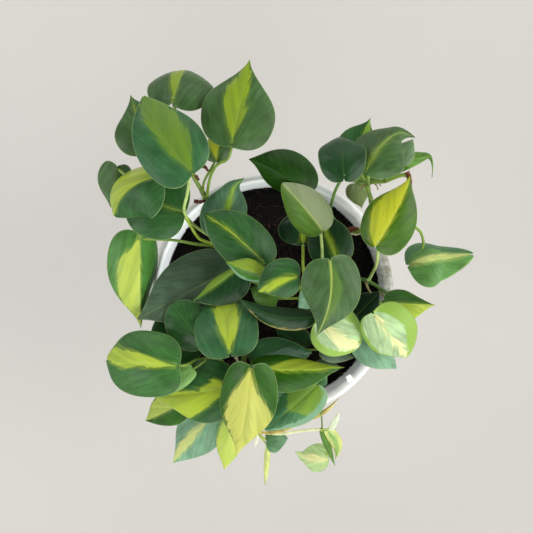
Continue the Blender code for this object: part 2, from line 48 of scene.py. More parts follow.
# the pot and its soil, as in the part
POT_HEIGHT = 150.0
RIM_RADIUS = 90.0
BASE_RADIUS = 64.0
WALL = 7.0
RIM_ROUNDING = 3.6
FOOT_ROUNDING = 4.0
FLOOR = 8.0
INNER_ROUNDING = 6.0
SOIL_BELOW_RIM = 20.0
SEAT_GAP = 0.3
SOIL_BUMP = 1.2
TURN_STEPS = 180

# the plant, as in the part
VINE_RADIUS = 1.9
STALK_RADIUS = 1.1
SLIM_STALK_RADIUS = 0.6
STEM_DEPTH = 24.0
NECK = 5.0
STALK_REACH = 0.04
KNEE = 2.4
BRANCH_TAPER = 0.9

# picture units, counted right and down from the picture's corner, scaled on the rim's plane
UNIT = 0.736
AXIS_AT = (272.0, 295.0)
EYE_AT = (266.5, 266.5)
EYE_HEIGHT = 900.0
PICTURE = 533

# half of the blade's outline as two cubic curves, in widths and lengths of the blade
LOBE_CURVE = ((0.02, -0.01), (0.13, -0.07), (0.455, -0.09), (0.50, 0.26))
PLAIN_FLANK = ((0.50, 0.26), (0.55, 0.64), (0.10, 0.86), (0.0, 1.0))
FULL_FLANK = ((0.50, 0.26), (0.57, 0.74), (0.36, 0.99), (0.0, 1.0))
DRAWN_FLANK = ((0.50, 0.26), (0.56, 0.66), (0.03, 0.74), (0.0, 1.0))
LOBE_SHARE = 0.45
HALF_TURN = math.radians(30.0)
TAIL_FROM = 0.78
SLIVER_BELOW = 12.0
SLIVER_WIDTH = 5.0
NARROW_BELOW = 29.0

# how brightly the table's sheet glows by itself
TABLE_GLOW = 0.36

# the finer blade: where its rows and columns lie, how thick it is, and its relief
ROWS = 44
SLIVER_ROWS = 24
TIP_END = 0.985
HALF_COLUMNS = (0.0, 0.02, 0.06, 0.14, 0.25, 0.37, 0.50, 0.62, 0.74, 0.85, 0.94, 1.0)
SLIVER_COLUMNS = (0.0, 0.15, 0.5, 0.85, 1.0)
BLADE_THICKNESS = 0.55
MARGIN_THICKNESS = 0.30
SIDE_VEINS = 7.0
LOBE_VEINS = 3.0
VEIN_SLOPE = 0.8
VEIN_CURVE = 0.35
STREAK_HEADING = math.radians(20.0)
STREAK_LENGTH = 28.0
STREAK_WIDTH = 2.8
QUILTING = 0.14
RIB_FURROW = 0.45
RIB_WIDTH = 0.62
MARGIN_WAVE = 0.018
LOBE_LIFT = 0.04


def leaf(base, tip, heights, width, tilts=(14, 14), bow=0.0, arch=3.0, at=-1, via=(), tail=None,
         form=0.0):
    """One blade and its stalk: picture places of base and tip, their heights, and how it bends.

    tilts are how far the left and right halves hang, in degrees, looking from base to tip; bow is
    the midrib's bend to the left and arch its bend upward, in mm. The stalk leaves the vine point
    at and goes by way of via. tail is how far the tip curls aside, and form runs from -1, a drawn-out
    tip, to 1, a full round one.
    """
    return {"base": base, "tip": tip, "heights": heights, "width": width, "tilts": tilts,
            "bow": bow, "arch": arch, "at": at, "via": via, "tail": tail, "form": form}


STEMS = {
    "stem_upper_left": {
        "vine": ((221, 239, -20), (212, 224, 4), (206, 202, 16), (203, 193, 20), (193, 174, 28),
                 (200, 165, 34), (206, 158, 38)),
        "taper": 0.7,
        "leaves": {
            "over_top": leaf((172, 103), (186, 71), (56, 24), 49, (30, 8), 0, 9, 4, form=0.8),
            "tall": leaf((232, 144), (250, 58), (58, 60), 52, (12, 10), 0, 3, 2,
                         ((210, 178, 34), (217, 165, 44), (228, 158, 52)), form=-0.9),
            "behind": leaf((150, 150), (130, 94), (48, 46), 42, (14, 14), 0, 3, 4, form=-1.0),
            "drooping": leaf((117, 167), (111, 208), (32, 4), 32, (50, 30), 0, 4, 4,
                             ((178, 174, 44), (150, 181, 50), (130, 178, 40))),
            "lime_half": leaf((159, 176), (114, 217), (62, 40), 51, (6, 62), -7, 4, 4, form=1.0),
            "young": leaf((216, 161), (222, 125), (45, 42), 20, (20, 20), 0, 2, 3,
                          ((204, 182, 28), (212, 167, 38))),
        },
    },
    "stem_left": {
        "vine": ((233, 252, -20), (227, 248, -8), (219, 241, -1)),
        "leaves": {
            "crown": leaf((191, 172), (143, 95), (80, 70), 48, (10, 10), 3, 4, 2,
                          ((199, 229, 6), (189, 220, 28), (184, 210, 49), (187, 195, 62),
                           (189, 182, 74)), form=0.2),
            "dark_low": leaf((183, 212), (123, 194), (41, 33), 50, (12, 12), 0, 3, 1,
                             ((204, 241, 6), (197, 236, 14), (189, 223, 30)), form=0.8),
            "outer": leaf((140, 235), (141, 330), (28, 3), 50, (66, 10), 0, 4, 1,
                          ((196, 244, 4), (172, 240, 12)), form=-0.9),
        },
    },
    "stem_centre_left": {
        "vine": ((262, 285, -20), (250, 279, -12), (238, 273, -6), (230, 262, -2)),
        "leaves": {
            "upright": leaf((221, 238), (236, 176), (14, 30), 38, (10, 45), 0, 2, 3, (),
                            (7.0, -1.5, 3.0), -0.3),
            "glossy": leaf((265, 264), (204, 214), (31, 38), 37, (14, 14), -2, 3, 0, form=0.5),
            "slate": leaf((229, 270), (136, 320), (6, 18), 51, (8, 8), 0, 2, 2, form=-0.2),
            "lime_edge": leaf((240, 268), (192, 302), (28, 24), 38, (10, 76), 0, 2, 1),
            "folded": leaf((266, 276), (225, 262), (39, 46), 21, (44, 40), 0, 2, 1),
        },
    },
    "stem_centre": {
        "vine": ((300, 300, -20), (301, 298, -8), (302, 294, 2)),
        "leaves": {
            "half_lime": leaf((298, 277), (258, 292), (52, 46), 29, (16, 16), -3, 2, 2, form=0.2),
            "small_olive": leaf((277, 299), (250, 288), (20, 16), 22, (14, 14), 0, 1, 1),
            "front": leaf((330, 261), (315, 338), (62, 44), 43, (15, 15), 5, 3, 2,
                          ((315, 282, 30), (325, 266, 54)), form=-1.0),
            "twisted": leaf((312, 317), (236, 296), (28, 36), 20, (24, 50), 6, 1, 1, form=-0.7),
            "pale_small": leaf((318, 292), (298, 308), (34, 27), 18, (14, 14), 0, 1, 2),
        },
    },
    "stem_centre_top": {
        "vine": ((318, 258, -20), (317, 250, -8), (314, 236, 2)),
        "leaves": {
            "plain": leaf((305, 195), (248, 159), (34, 40), 44, (62, 18), -3, 3, 2,
                          ((313, 222, 12), (309, 202, 26))),
            "pale": leaf((322, 230), (281, 183), (42, 40), 32, (34, 20), -1, 2, 0,
                         ((318, 272, -4), (321, 279, 14), (322, 268, 31), (322, 248, 34)), form=0.4),
            "dark_wedge": leaf((303, 243), (302, 206), (20, 18), 36, (14, 14), 0, 2, 0,
                               ((312, 272, -12), (305, 277, -6), (303, 266, 4), (303, 254, 12)),
                               form=0.3),
            "behind_front": leaf((338, 262), (316, 210), (26, 22), 34, (14, 14), 0, 3, 0,
                                 ((330, 264, 0), (337, 266, 18))),
        },
    },
    "stem_upper_right": {
        "vine": ((333, 228, -20), (345, 231, -4), (360, 231, 10), (370, 216, 18), (371, 200, 26),
                 (368, 184, 34), (385, 181, 36), (406, 175, 36), (409, 188, 32)),
        "taper": 0.65,
        "leaves": {
            "dark_left": leaf((344, 179), (340, 137), (79, 58), 33, (16, 16), 0, 9, 1,
                              ((331, 214, 20), (333, 198, 44), (337, 187, 62)), form=1.0),
            "spike": leaf((350, 162), (371, 117), (40, 44), 30, (16, 16), 0, 2, 5, form=-1.0),
            "long_band": leaf((366, 172), (411, 129), (66, 60), 45, (48, 8), 6, 4, 5, (),
                              (4.5, -6.0, -4.0), -0.2),
            "tailed": leaf((352, 175), (446, 151), (32, 40), 20, (20, 40), 0, 2, 5, (),
                           (-9.5, -22.0, -6.0), -1.0),
            "peeping": leaf((400, 162), (413, 139), (52, 48), 15, (14, 14), 0, 1, 6),
            "hanging": leaf((357, 184), (362, 209), (23, 4), 19, (16, 16), 0, 1, 5, form=-1.0),
            "far_right": leaf((409, 265), (451, 258), (14, 10), 43, (58, 2), 3, 3, 8,
                              ((411, 208, 22), (414, 225, 16), (421, 233, 10), (423, 246, 6),
                               (415, 261, 9)), (17.0, 3.0, 1.0), 0.9),
        },
    },
    "stem_right": {
        "vine": ((345, 285, -20), (350, 281, -8), (357, 279, 0), (368, 281, 6), (388, 294, 14),
                 (389, 298, 17), (381, 303, 22)),
        "taper": 0.5,
        "leaves": {
            "wide_lime": leaf((376, 246), (411, 174), (52, 58), 39, (12, 20), -2, 3, 3,
                              ((372, 274, 14), (377, 262, 32)), form=-0.8),
            "large_pale": leaf((374, 314), (406, 358), (44, 24), 42, (8, 40), 0, 6, 6, form=0.8),
            "small_pale": leaf((319, 321), (360, 346), (34, 24), 37, (14, 14), 0, 5, 1,
                               ((340, 300, 4), (330, 314, 22)), form=0.8),
            "half_under": leaf((386, 303), (436, 305), (24, 16), 28, (46, 14), 0, 3, 5, form=-0.9),
            "bluish": leaf((358, 336), (397, 369), (14, 9), 28, (10, 10), 0, 3, 1,
                           ((352, 302, -6), (352, 320, 4))),
            "shaded": leaf((354, 318), (380, 291), (-4, -4), 22, (10, 10), 0, 1, 1),
        },
    },
    "stem_lower_left": {
        "vine": ((214, 338, -20), (215, 346, -6), (217, 352, 2), (222, 364, 6)),
        "leaves": {
            "lime_wedge": leaf((230, 354), (222, 297), (40, 16), 46, (12, 12), 0, 6, 1,
                               ((224, 354, 16),), form=1.0),
            "left_wide": leaf((177, 366), (106, 359), (33, 11), 49, (14, 14), 1, 5, 2,
                              ((207, 358, 8), (196, 360, 14), (186, 365, 28)), form=0.9),
            "lime_south": leaf((232, 388), (153, 397), (22, 13), 47, (10, 10), 0, 3, 3, form=-0.4),
            "left_shade": leaf((200, 352), (157, 318), (5, 4), 38, (6, 6), 0, 1, 0, form=1.0),
            "left_lobe": leaf((203, 345), (172, 303), (15, 20), 32, (14, 14), 0, 4, 1, form=1.0),
            "thin_pale": leaf((192, 370), (157, 396), (28, 20), 14, (12, 12), 0, 2, 2),
            "low_lime": leaf((184, 402), (145, 421), (6, -14), 27, (12, 12), 0, 3, 3,
                             ((205, 388, 8),), form=-0.2),
        },
    },
    "stem_lower": {
        "vine": ((248, 348, -20), (243, 362, -8), (238, 384, 3), (233, 402, 3), (230, 413, 3)),
        "leaves": {
            "great_lime": leaf((251, 368), (235, 458), (48, 12), 43, (16, 22), 2, 6, 1,
                               ((247, 368, 18), (248, 368, 38)), form=-1.0),
            "under_lime": leaf((235, 416), (224, 470), (7, -22), 22, (16, 16), 0, 4, 4, form=-0.3),
            "corner": leaf((209, 416), (172, 464), (-10, -36), 38, (14, 36), 0, 4, 4, form=-0.6),
        },
    },
    "stem_lower_right": {
        "vine": ((280, 350, -20), (276, 354, -8), (268, 360, 2)),
        "leaves": {
            "long_lime": leaf((255, 368), (346, 367), (30, 19), 35, (60, 10), -1, 3, 2, form=-0.9),
            "sheen": leaf((252, 362), (313, 352), (3, 2), 32, (8, 22), 0, 2, 2),
            "low_shade": leaf((307, 347), (276, 330), (-4, -2), 22, (10, 10), 0, 1, 0),
            "slate_strip": leaf((322, 349), (354, 358), (6, 2), 16, (10, 10), 0, 1, 0),
            "low_strip": leaf((316, 366), (342, 368), (-6, -6), 11, (10, 10), 0, 1, 0),
            "round_shade": leaf((311, 374), (327, 385), (2, 1), 20, (10, 10), 0, 1, 1),
        },
    },
    "stem_trailing": {
        "vine": ((300, 366, -20), (299, 380, -4), (300, 393, 4), (301, 405, 5), (300, 415, 0),
                 (294, 425, -14), (284, 430, -25), (271, 433, -30), (257, 432, -32)),
        "taper": 0.6,
        "branch": (8, ((280, 434, -33), (300, 431, -34), (321, 429, -35))),
        "leaves": {
            "pleated": leaf((317, 385), (264, 431), (15, 6), 34, (10, 10), 0, 4, 1),
            "lower_blue": leaf((267, 441), (288, 438), (-34, -40), 20, (12, 12), 0, 2, 8,
                               ((262, 437, -33),)),
            "spindle": leaf((268, 446), (265, 486), (-38, -58), 5, (25, 25), 0, 2, 8,
                            ((263, 440, -34),)),
            "white_sheath": leaf((257, 435), (255, 447), (-32, -40), 4, (20, 20), 0, 1, 8),
            "dark_fold": leaf((322, 431), (335, 466), (-36, -56), 8, (50, 50), 0, 2, 3,
                              ((317, 399, 7), (321, 413, -2), (322, 423, -24))),
            "pale_fold": leaf((328, 431), (335, 459), (-34, -54), 11, (30, 30), 4, 2, -1),
            "pale_up": leaf((331, 430), (340, 411), (-32, -22), 5, (20, 20), 0, 1, -1),
            "shoot": leaf((300, 419), (339, 397), (-14, 3), 4, (20, 20), -4, 2, 5),
            "bottom_lime": leaf((328, 459), (298, 455), (-68, -72), 24, (16, 16), 0, 3, -1,
                                ((331, 444, -58),), (-3.0, 4.0, 3.0)),
        },
    },
}


def look(green, lime=None, left=(0.0,), right=(0.0,), edge=None, rims=(0.0, 0.0), stalk="stalk",
         rib=1.0, ragged=1.0):
    """A blade's colours: green, lime, and how much of each half is lime on the way to the tip.

    The shares count from the midrib and are evenly spaced from base to tip. edge is a third colour
    along the margins, with its share of each half in rims. rib is how clearly the midrib shows and
    ragged how frayed the lime's edge is.
    """
    return {"green": green, "lime": lime, "left": left, "right": right, "edge": edge or green,
            "rims": rims, "stalk": stalk, "rib": rib, "ragged": ragged}


# leaf tissue and stalk colours, as sRGB hex, with two greys of painted sheen
TINTS = {
    "black_green": "#122c18", "bottle": "#1b4407", "fescue": "#5c7f34", "russet": "#93864a", "deep": "#193f1c", "dark": "#2f5c2c",
    "leafy": "#4b8038", "basil": "#5d9048", "pasture": "#4f761c", "misty": "#55805e", "celadon": "#56835a", "painted_sheen_grey": "#6c8d78", "forest": "#416234", "mid": "#3f6f22", "olive": "#265800", "meadow": "#3b6406", "fern": "#5c8a34",
    "blue": "#3f7446", "slate": "#4b624b", "jade": "#35633a", "lichen": "#a9c585", "lichen_grey": "#64845a", "clover": "#3b6b31", "zest": "#b6cd46", "painted_sheen_greyish": "#97a57c", "mint": "#abca94",
    "sage": "#79a683", "khaki": "#72854f", "moss": "#86a02a", "lime": "#a9c038",
    "fresh": "#7a9e36", "grass": "#68892c", "yellow": "#b9c030", "primrose": "#c6ca60", "citrus": "#bdd058",
    "cream": "#ecebab", "band_olive": "#74913c", "apple": "#8bb23c", "leek": "#76a658",
    "straw": "#d2dc84", "white_green": "#d5e2c2", "ivory": "#f0f0de", "butter": "#dfe3ae",
    "stalk": "#7f9f3e", "pale_stalk": "#b2cb76", "lime_stalk": "#a6be44", "dark_stalk": "#587c34", "straw_stalk": "#d2c26c",
}

LOOKS = {
    "over_top": look("forest", "moss", (0.05, 0.3, 0.5), (0.0,), ragged=0.7, rib=0.8),
    "tall": look("forest", "moss", (0.03, 0.28, 0.5, 0.65, 1.2), (0.05, 0.14, 0.18, 0.4, 0.8),
                 ragged=0.9, rib=0.5),
    "behind": look("forest", "moss", (0.1, 0.04, 0.1), (0.0,), ragged=0.3, rib=0.6),
    "drooping": look("forest", rib=0.6),
    "lime_half": look("dark", "lime", (0.0,), (1.2,), ragged=0.3, rib=0.5),
    "young": look("forest", "yellow", (0.0, 0.9, 1.0), (0.0,), ragged=0.3),
    "crown": look("jade", "grass", (0.02, 0.12, 0.35, 0.9), (0.25, 0.6, 0.85, 1.2), stalk="pale_stalk",
                  ragged=0.8, rib=0.4),
    "dark_low": look("dark", "band_olive", (0.05, 0.0), (0.04, 0.0), stalk="lime_stalk", ragged=0.3,
                     rib=0.5),
    "outer": look("leafy", "citrus", (0.02,), (0.05, 0.6, 0.75, 1.0, 1.1), ragged=0.6, rib=0.3),
    "upright": look("misty", "apple", (0.05, 0.2, 0.1), (0.02, 0.12, 0.3), ragged=0.3, rib=0.3),
    "glossy": look("dark", "moss", (0.03, 0.02, 0.1), (0.0, 0.03, 0.1), ragged=0.5, rib=0.9),
    "slate": look("slate", rib=0.7),
    "lime_edge": look("deep", "apple", (0.0,), (1.2,), ragged=0.3, rib=0.5),
    "folded": look("mid", "moss", (0.05,), (0.8, 1.0, 0.6), edge="sage", rims=(0.3, 0.0), ragged=0.5,
                   rib=0.3),
    "half_lime": look("dark", "lime", (0.0, 0.3, 0.9), (0.05, 0.1, 0.1), ragged=0.5, rib=0.6),
    "small_olive": look("fern", rib=0.6),
    "front": look("forest", "fescue", (0.12, 0.36, 0.28, 0.1), (0.0,), stalk="pale_stalk",
                  rib=1.5, ragged=0.4),
    "twisted": look("deep", edge="russet", rims=(0.09, 0.0), rib=0.3),
    "pale_small": look("sage", rib=0.6),
    "plain": look("bottle", stalk="dark_stalk", rib=0.25),
    # painted sheen: the greyish right half stands for gloss where that half tilts toward the light
    "pale": look("pasture", "painted_sheen_greyish", (0.0,), (1.2,), stalk="pale_stalk", rib=1.6, ragged=0.1),
    "dark_wedge": look("deep", "lime", (0.2, -0.3), (0.2, -0.3), stalk="lime_stalk", ragged=0.5,
                       rib=0.3),
    "behind_front": look("deep", "moss", (0.1,), (0.15,), stalk="pale_stalk", ragged=0.3),
    "dark_left": look("deep", stalk="dark_stalk", rib=0.3),
    "spike": look("dark", "apple", (0.0,), (0.4, 0.8), ragged=0.5),
    "long_band": look("forest", "band_olive", (0.12, 0.07), (0.08, 0.06), ragged=0.3, rib=0.8),
    "tailed": look("fern", rib=0.6),
    "peeping": look("lichen_grey", rib=0.5),
    "hanging": look("khaki", rib=0.3),
    "far_right": look("basil", "straw", (0.02, 0.08, 0.12, 0.4), (0.04, 0.14, 0.16, 0.3), edge="blue",
                      rims=(0.5, 0.0), ragged=0.3, rib=0.8),
    "wide_lime": look("meadow", "yellow", (0.45, 0.75, 0.95, 1.2), (0.0, 0.0, 0.2), stalk="pale_stalk",
                      ragged=0.5, rib=0.8),
    "large_pale": look("mint", "cream", (0.04, 0.08, 0.2, 0.5), (0.03, 0.08, 0.15, 0.3), edge="apple",
                       rims=(0.55, 0.16), ragged=1.3, rib=1.2),
    "small_pale": look("mint", "cream", (0.02, 0.06, 0.1, 0.05), (0.06, 0.3, 0.6, 0.7), edge="apple",
                       rims=(0.35, 0.3), ragged=1.4, rib=1.0),
    "half_under": look("olive", "lime", (0.0,), (1.2,), ragged=0.3),
    "bluish": look("sage", rib=0.4),
    "shaded": look("black_green", rib=0.6),
    "lime_wedge": look("jade", "lime", (0.0, 0.22, 0.3, 0.6), (0.0, 0.3, 0.5, 0.7), ragged=0.6,
                       rib=0.4),
    "left_wide": look("clover", "zest", (0.02, 0.05, 0.08, 0.25, 0.05), (0.05, 0.15, 0.3, 0.5, 1.0),
                      ragged=0.5,
                      rib=0.6),
    "lime_south": look("dark", "lime", (0.1, 0.3, 0.6, 1.0, 1.2, 1.2), (0.15, 0.35, 0.05, 0.08, 0.3, 0.8),
                       ragged=0.7,
                       rib=0.4),
    "left_shade": look("dark", rib=0.4),
    "left_lobe": look("dark", rib=0.4),
    "thin_pale": look("leek", rib=0.5),
    "low_lime": look("olive", "citrus", (0.0,), (0.7, 1.1), ragged=0.4),
    "great_lime": look("olive", "primrose", (0.03, 0.35, 1.05, 1.7, 1.9), (0.1, 0.5, 0.8, 0.9, 1.2), ragged=0.6,
                       rib=0.4),
    "under_lime": look("leek", "citrus", (0.9, 1.2), (0.7, 1.2), ragged=0.5, rib=0.5),
    "corner": look("sage", "straw", (0.02, 0.12, 0.2), (0.1, 0.3, 1.0), ragged=0.5, rib=0.6),
    "long_lime": look("olive", "lime", (-0.2, 0.8, 1.2), (0.0, 0.1, 0.15), ragged=0.4, rib=0.6),
    # painted sheen: the pale grey streaks stand for gloss highlights along the side veins
    "sheen": look("jade", "painted_sheen_grey", (0.0, 0.3, 0.5, 0.2), (0.0, 0.25, 0.4, 0.1), ragged=1.3, rib=0.4),
    "low_shade": look("deep", rib=0.5),
    "slate_strip": look("slate", None, edge="leek", rims=(0.15, 0.0)),
    "low_strip": look("slate", rib=0.4),
    "round_shade": look("blue", rib=0.4),
    "pleated": look("blue", "fresh", (1.2, 0.9, -0.6, -1.0), (0.9, 0.7, -0.4, -1.0), edge="sage",
                    rims=(0.3, 0.3), ragged=0.8, rib=0.6),
    "lower_blue": look("celadon", stalk="lime_stalk", rib=0.4),
    "spindle": look("straw", stalk="lime_stalk", rib=0.3),
    "white_sheath": look("ivory", stalk="pale_stalk", rib=0.0),
    "dark_fold": look("fern", stalk="dark_stalk", rib=0.5),
    "pale_fold": look("straw", "leek", (0.3,), (0.4,), stalk="lime_stalk", ragged=0.5),
    "pale_up": look("white_green", stalk="pale_stalk", rib=0.3),
    "shoot": look("straw_stalk", stalk="straw_stalk", rib=0.0),
    "bottom_lime": look("lichen", "cream", (0.1, 0.3, 0.5), (0.05, 0.2, 0.4), stalk="lime_stalk", ragged=0.5),
}


def placed(point):
    """World place of a picture point at a height above the rim: along the sight line to the eye."""
    across, down, height = point
    eye = np.array([UNIT * (EYE_AT[0] - AXIS_AT[0]), UNIT * (AXIS_AT[1] - EYE_AT[1])])
    plan = np.array([UNIT * (across - AXIS_AT[0]), UNIT * (AXIS_AT[1] - down)])
    seen = eye + (plan - eye) * (EYE_HEIGHT - height) / EYE_HEIGHT
    return np.array([seen[0], seen[1], POT_HEIGHT + height])


def unit(vectors):
    """Vectors of length one."""
    return vectors / np.linalg.norm(vectors, axis=-1, keepdims=True)


def cubic(corners, share):
    """Points of a cubic Bezier curve."""
    first, second, third, last = [np.array(corner) for corner in corners]
    s = np.asarray(share)[..., None]
    return ((1 - s) ** 3 * first + 3 * s * (1 - s) ** 2 * second
            + 3 * s ** 2 * (1 - s) * third + s ** 3 * last)


def outline(form, b):
    """Half of the heart's margin from the notch (b = 0) round the lobe to the tip (b = 1).

    The flank is the plain one, mixed with the full or the drawn-out one by the blade's form.
    """
    lobe = cubic(LOBE_CURVE, np.clip(b / LOBE_SHARE, 0.0, 1.0))
    other = FULL_FLANK if form > 0 else DRAWN_FLANK
    curve = np.array(PLAIN_FLANK) * (1.0 - abs(form)) + np.array(other) * abs(form)
    flank = cubic(curve, np.clip((b - LOBE_SHARE) / (1.0 - LOBE_SHARE), 0.0, 1.0))
    margin = np.where((b < LOBE_SHARE)[..., None], lobe, flank)
    return margin[..., 0], margin[..., 1]


def midrib(blade, t):
    """Points along the midrib: the straight line from base to tip, bent up, sideways and curled."""
    start = placed((*blade["base"], blade["heights"][0]))
    end = placed((*blade["tip"], blade["heights"][1]))
    chord = end - start
    left = unit(np.cross((0.0, 0.0, 1.0), chord))
    up = np.cross(unit(chord), left)
    t = np.asarray(t, dtype=float)[..., None]
    bend = 4.0 * t * (1.0 - t)
    line = start + chord * t + (blade["arch"] * up + blade["bow"] * left) * bend
    if blade["tail"]:
        line = line + np.array(blade["tail"]) * np.clip((t - TAIL_FROM) / (1.0 - TAIL_FROM), 0.0, 1.0) ** 2
    return line


def blade_surface(blade, a, b):
    """The blade's middle surface: a runs -1..1 across it (left half positive), b from notch to tip.

    Each half leaves the midrib along an arc: at its outer end it has turned down by HALF_TURN
    more than at the midrib, so the blade is domed along its length.
    """
    half = np.abs(a)
    wide, far = outline(blade["form"], b)
    foot = b ** 1.5
    t = foot + (far - foot) * half
    step = 0.01
    along = unit(midrib(blade, t + step) - midrib(blade, t - step))
    left = unit(np.cross(np.broadcast_to((0.0, 0.0, 1.0), along.shape), along))
    up = np.cross(along, left)
    lean = np.where(a > 0, math.radians(blade["tilts"][0]), math.radians(blade["tilts"][1]))
    lean = lean - HALF_TURN / 2.0
    reach = wide * blade["width"] / HALF_TURN
    sideways = reach * (np.sin(lean + HALF_TURN * half) - np.sin(lean)) * np.sign(a)
    hang = reach * (np.cos(lean + HALF_TURN * half) - np.cos(lean))
    return midrib(blade, t) + left * sideways[..., None] + up * hang[..., None]


def smooth_path(points, steps):
    """A Catmull-Rom curve through the points, with so many steps to each span."""
    points = np.asarray(points, dtype=float)
    padded = np.vstack([2 * points[0] - points[1], points, 2 * points[-1] - points[-2]])
    s = np.linspace(0.0, 1.0, steps, endpoint=False)[None, :, None]
    before, start, end, after = [padded[i:len(padded) - 3 + i, None] for i in range(4)]
    path = 0.5 * (2 * start + (end - before) * s
                  + (2 * before - 5 * start + 4 * end - after) * s ** 2
                  + (3 * start - before - 3 * end + after) * s ** 3)
    return np.vstack([path.reshape(-1, 3), points[-1:]])


def linear(hex_colour):
    """An sRGB hex colour as linear red, green, blue and full alpha."""
    parts = [int(hex_colour[i:i + 2], 16) / 255.0 for i in (1, 3, 5)]
    return tuple(p / 12.92 if p <= 0.04045 else ((p + 0.055) / 1.055) ** 2.4 for p in parts) + (1.0,)


def grid_quads(rows, columns):
    """Quads of a grid of points in rows; they face the cross product of column and row steps."""
    first = (np.arange(rows - 1)[:, None] * columns + np.arange(columns - 1)).ravel()
    return np.stack([first, first + 1, first + columns + 1, first + columns], axis=1)


def blade_sheet(blade, colours, number):
    """A blade as a thin closed shell with what its finish reads at every point.

    The middle surface is raised between the side veins, furrowed over the midrib, waved along the
    margin and lifted at the lobes; both faces lie half a thickness off it along its normal. The
    lime's depth is how far inside the lime share of its half a point lies, in mm.
    """
    sliver = blade["width"] < SLIVER_BELOW
    half_line = np.array(SLIVER_COLUMNS if sliver else HALF_COLUMNS)
    rows = SLIVER_ROWS if sliver else ROWS
    line = np.concatenate([-half_line[:0:-1], half_line])
    b, a = np.meshgrid(np.linspace(0.0, TIP_END, rows), line, indexing="ij")
    half = np.abs(a)
    wide, far = outline(blade["form"], b)
    reach = wide * blade["width"]
    line_up = b ** 1.5 + (far - b ** 1.5) * half
    t = np.clip(line_up, 0.0, 1.0)
    length = np.linalg.norm(midrib(blade, 1.0) - midrib(blade, 0.0))
    from_rib = half * reach
    ahead = line_up * length
    veins = vein_count(from_rib, ahead, blade["width"], length)

    phases = DRAWS.uniform(0.0, 2.0 * math.pi, 2)
    phase = np.where(a > 0, phases[0], phases[1])
    size = min(blade["width"] / 40.0, 1.0)
    quilt = -QUILTING * size * np.cos(2.0 * math.pi * veins) * 4.0 * half * (1.0 - half)
    furrow = -RIB_FURROW * size * (1.0 - 0.7 * t) * np.exp(-(from_rib / 1.1) ** 2)
    wave = MARGIN_WAVE * blade["width"] * half ** 2 * np.sin(2.0 * math.pi * 1.8 * b + phase)
    wave = wave * np.clip(reach / (0.3 * blade["width"]), 0.0, 1.0)
    lift = LOBE_LIFT * blade["width"] * half ** 2 * np.clip(1.0 - b / 0.4, 0.0, 1.0) ** 2
    middle = blade_surface(blade, a, b)
    normal = sheet_normals(middle)
    middle = middle + normal * (quilt + furrow + wave + lift)[..., None]
    normal = sheet_normals(middle)
    thickness = BLADE_THICKNESS + (MARGIN_THICKNESS - BLADE_THICKNESS) * half ** 3
    offset = normal * thickness[..., None] / 2.0
    points = np.concatenate([(middle + offset).reshape(-1, 3), (middle - offset).reshape(-1, 3)])

    count = b.size
    columns = line.size
    quads = grid_quads(rows, columns)
    index = np.arange(count).reshape(rows, columns)
    round_it = np.concatenate([index[0, :-1], index[:-1, -1], index[-1, :0:-1], index[:0:-1, 0]])
    after = np.roll(round_it, -1)
    margin = np.stack([round_it, after, after + count, round_it + count], axis=1)
    quads = np.concatenate([quads[:, ::-1], quads + count, margin])

    def share(values):
        """A share that changes along the blade, through evenly spaced values from base to tip."""
        return np.interp(t, np.linspace(0.0, 1.0, len(values)), values)

    lime_share = np.where(a > 0, share(colours["left"]), share(colours["right"]))
    rim_share = np.where(a > 0, colours["rims"][0], colours["rims"][1])
    no_lime = -50.0
    broad = np.maximum(reach, 6.0)
    lime_depth = (lime_share - half) * broad if colours["lime"] else np.full(b.shape, no_lime)
    edge_depth = np.where(rim_share > 0, (half - 1.0 + rim_share) * broad, no_lime)
    rib_half = RIB_WIDTH * size * (1.0 - 0.72 * t) * min(colours["rib"], 1.5)
    along_it = ahead * math.cos(STREAK_HEADING) + from_rib * math.sin(STREAK_HEADING)
    across_it = from_rib * math.cos(STREAK_HEADING) - ahead * math.sin(STREAK_HEADING)
    grain = np.stack([along_it / STREAK_LENGTH, across_it / STREAK_WIDTH + np.where(a > 0, 40.0, 0.0),
                      np.full(b.shape, 3.7 * number)], axis=-1)
    marks = {
        "lime_depth": lime_depth, "edge_depth": edge_depth, "rib_depth": rib_half - from_rib,
        "from_margin": (1.0 - half) * broad,
        "veins": veins, "vein_fade": np.clip(from_rib / 4.0, 0.0, 1.0) * size,
        "ragged": np.full(b.shape, colours["ragged"]), "rib_tone": np.full(b.shape, colours["rib"]),
        "grain": grain,
        "green": np.broadcast_to(linear(TINTS[colours["green"]]), (*b.shape, 4)),
        "lime": np.broadcast_to(linear(TINTS[colours["lime"] or "lime"]), (*b.shape, 4)),
        "edge": np.broadcast_to(linear(TINTS[colours["edge"]]), (*b.shape, 4)),
    }
    sheet = {name: np.concatenate([values.reshape(count, -1)] * 2) for name, values in marks.items()}
    sheet["under"] = np.repeat([0.0, 1.0], count)
    return {"points": points, "quads": quads, "marks": sheet}


def vein_count(from_rib, ahead, width, length):
    """How many side veins lie between a point and the first one, which leaves the very base.

    A vein leaves the midrib forward and bends further forward: its place is that of its root on
    the midrib. Behind the first one, in the lobes, they fan out from the base by their angle.
    """
    bend = VEIN_SLOPE * from_rib + VEIN_CURVE * from_rib ** 2 / width
    root = ahead - bend
    tiny = 0.001
    first = np.arctan2(from_rib + tiny, bend + tiny)
    angle = np.arctan2(from_rib + tiny, ahead)
    fan = -LOBE_VEINS * (angle - first) / (math.pi - first)
    return np.where(root > 0, SIDE_VEINS * root / length, fan)


def sheet_normals(points):
    """Unit normals of a grid of points, on its upper side, from the steps along rows and columns."""
    normal = np.cross(np.gradient(points, axis=0), np.gradient(points, axis=1))
    # at the notch the rows bunch up, so its normals follow the next row's
    normal[0] = normal[1]
    return unit(normal)


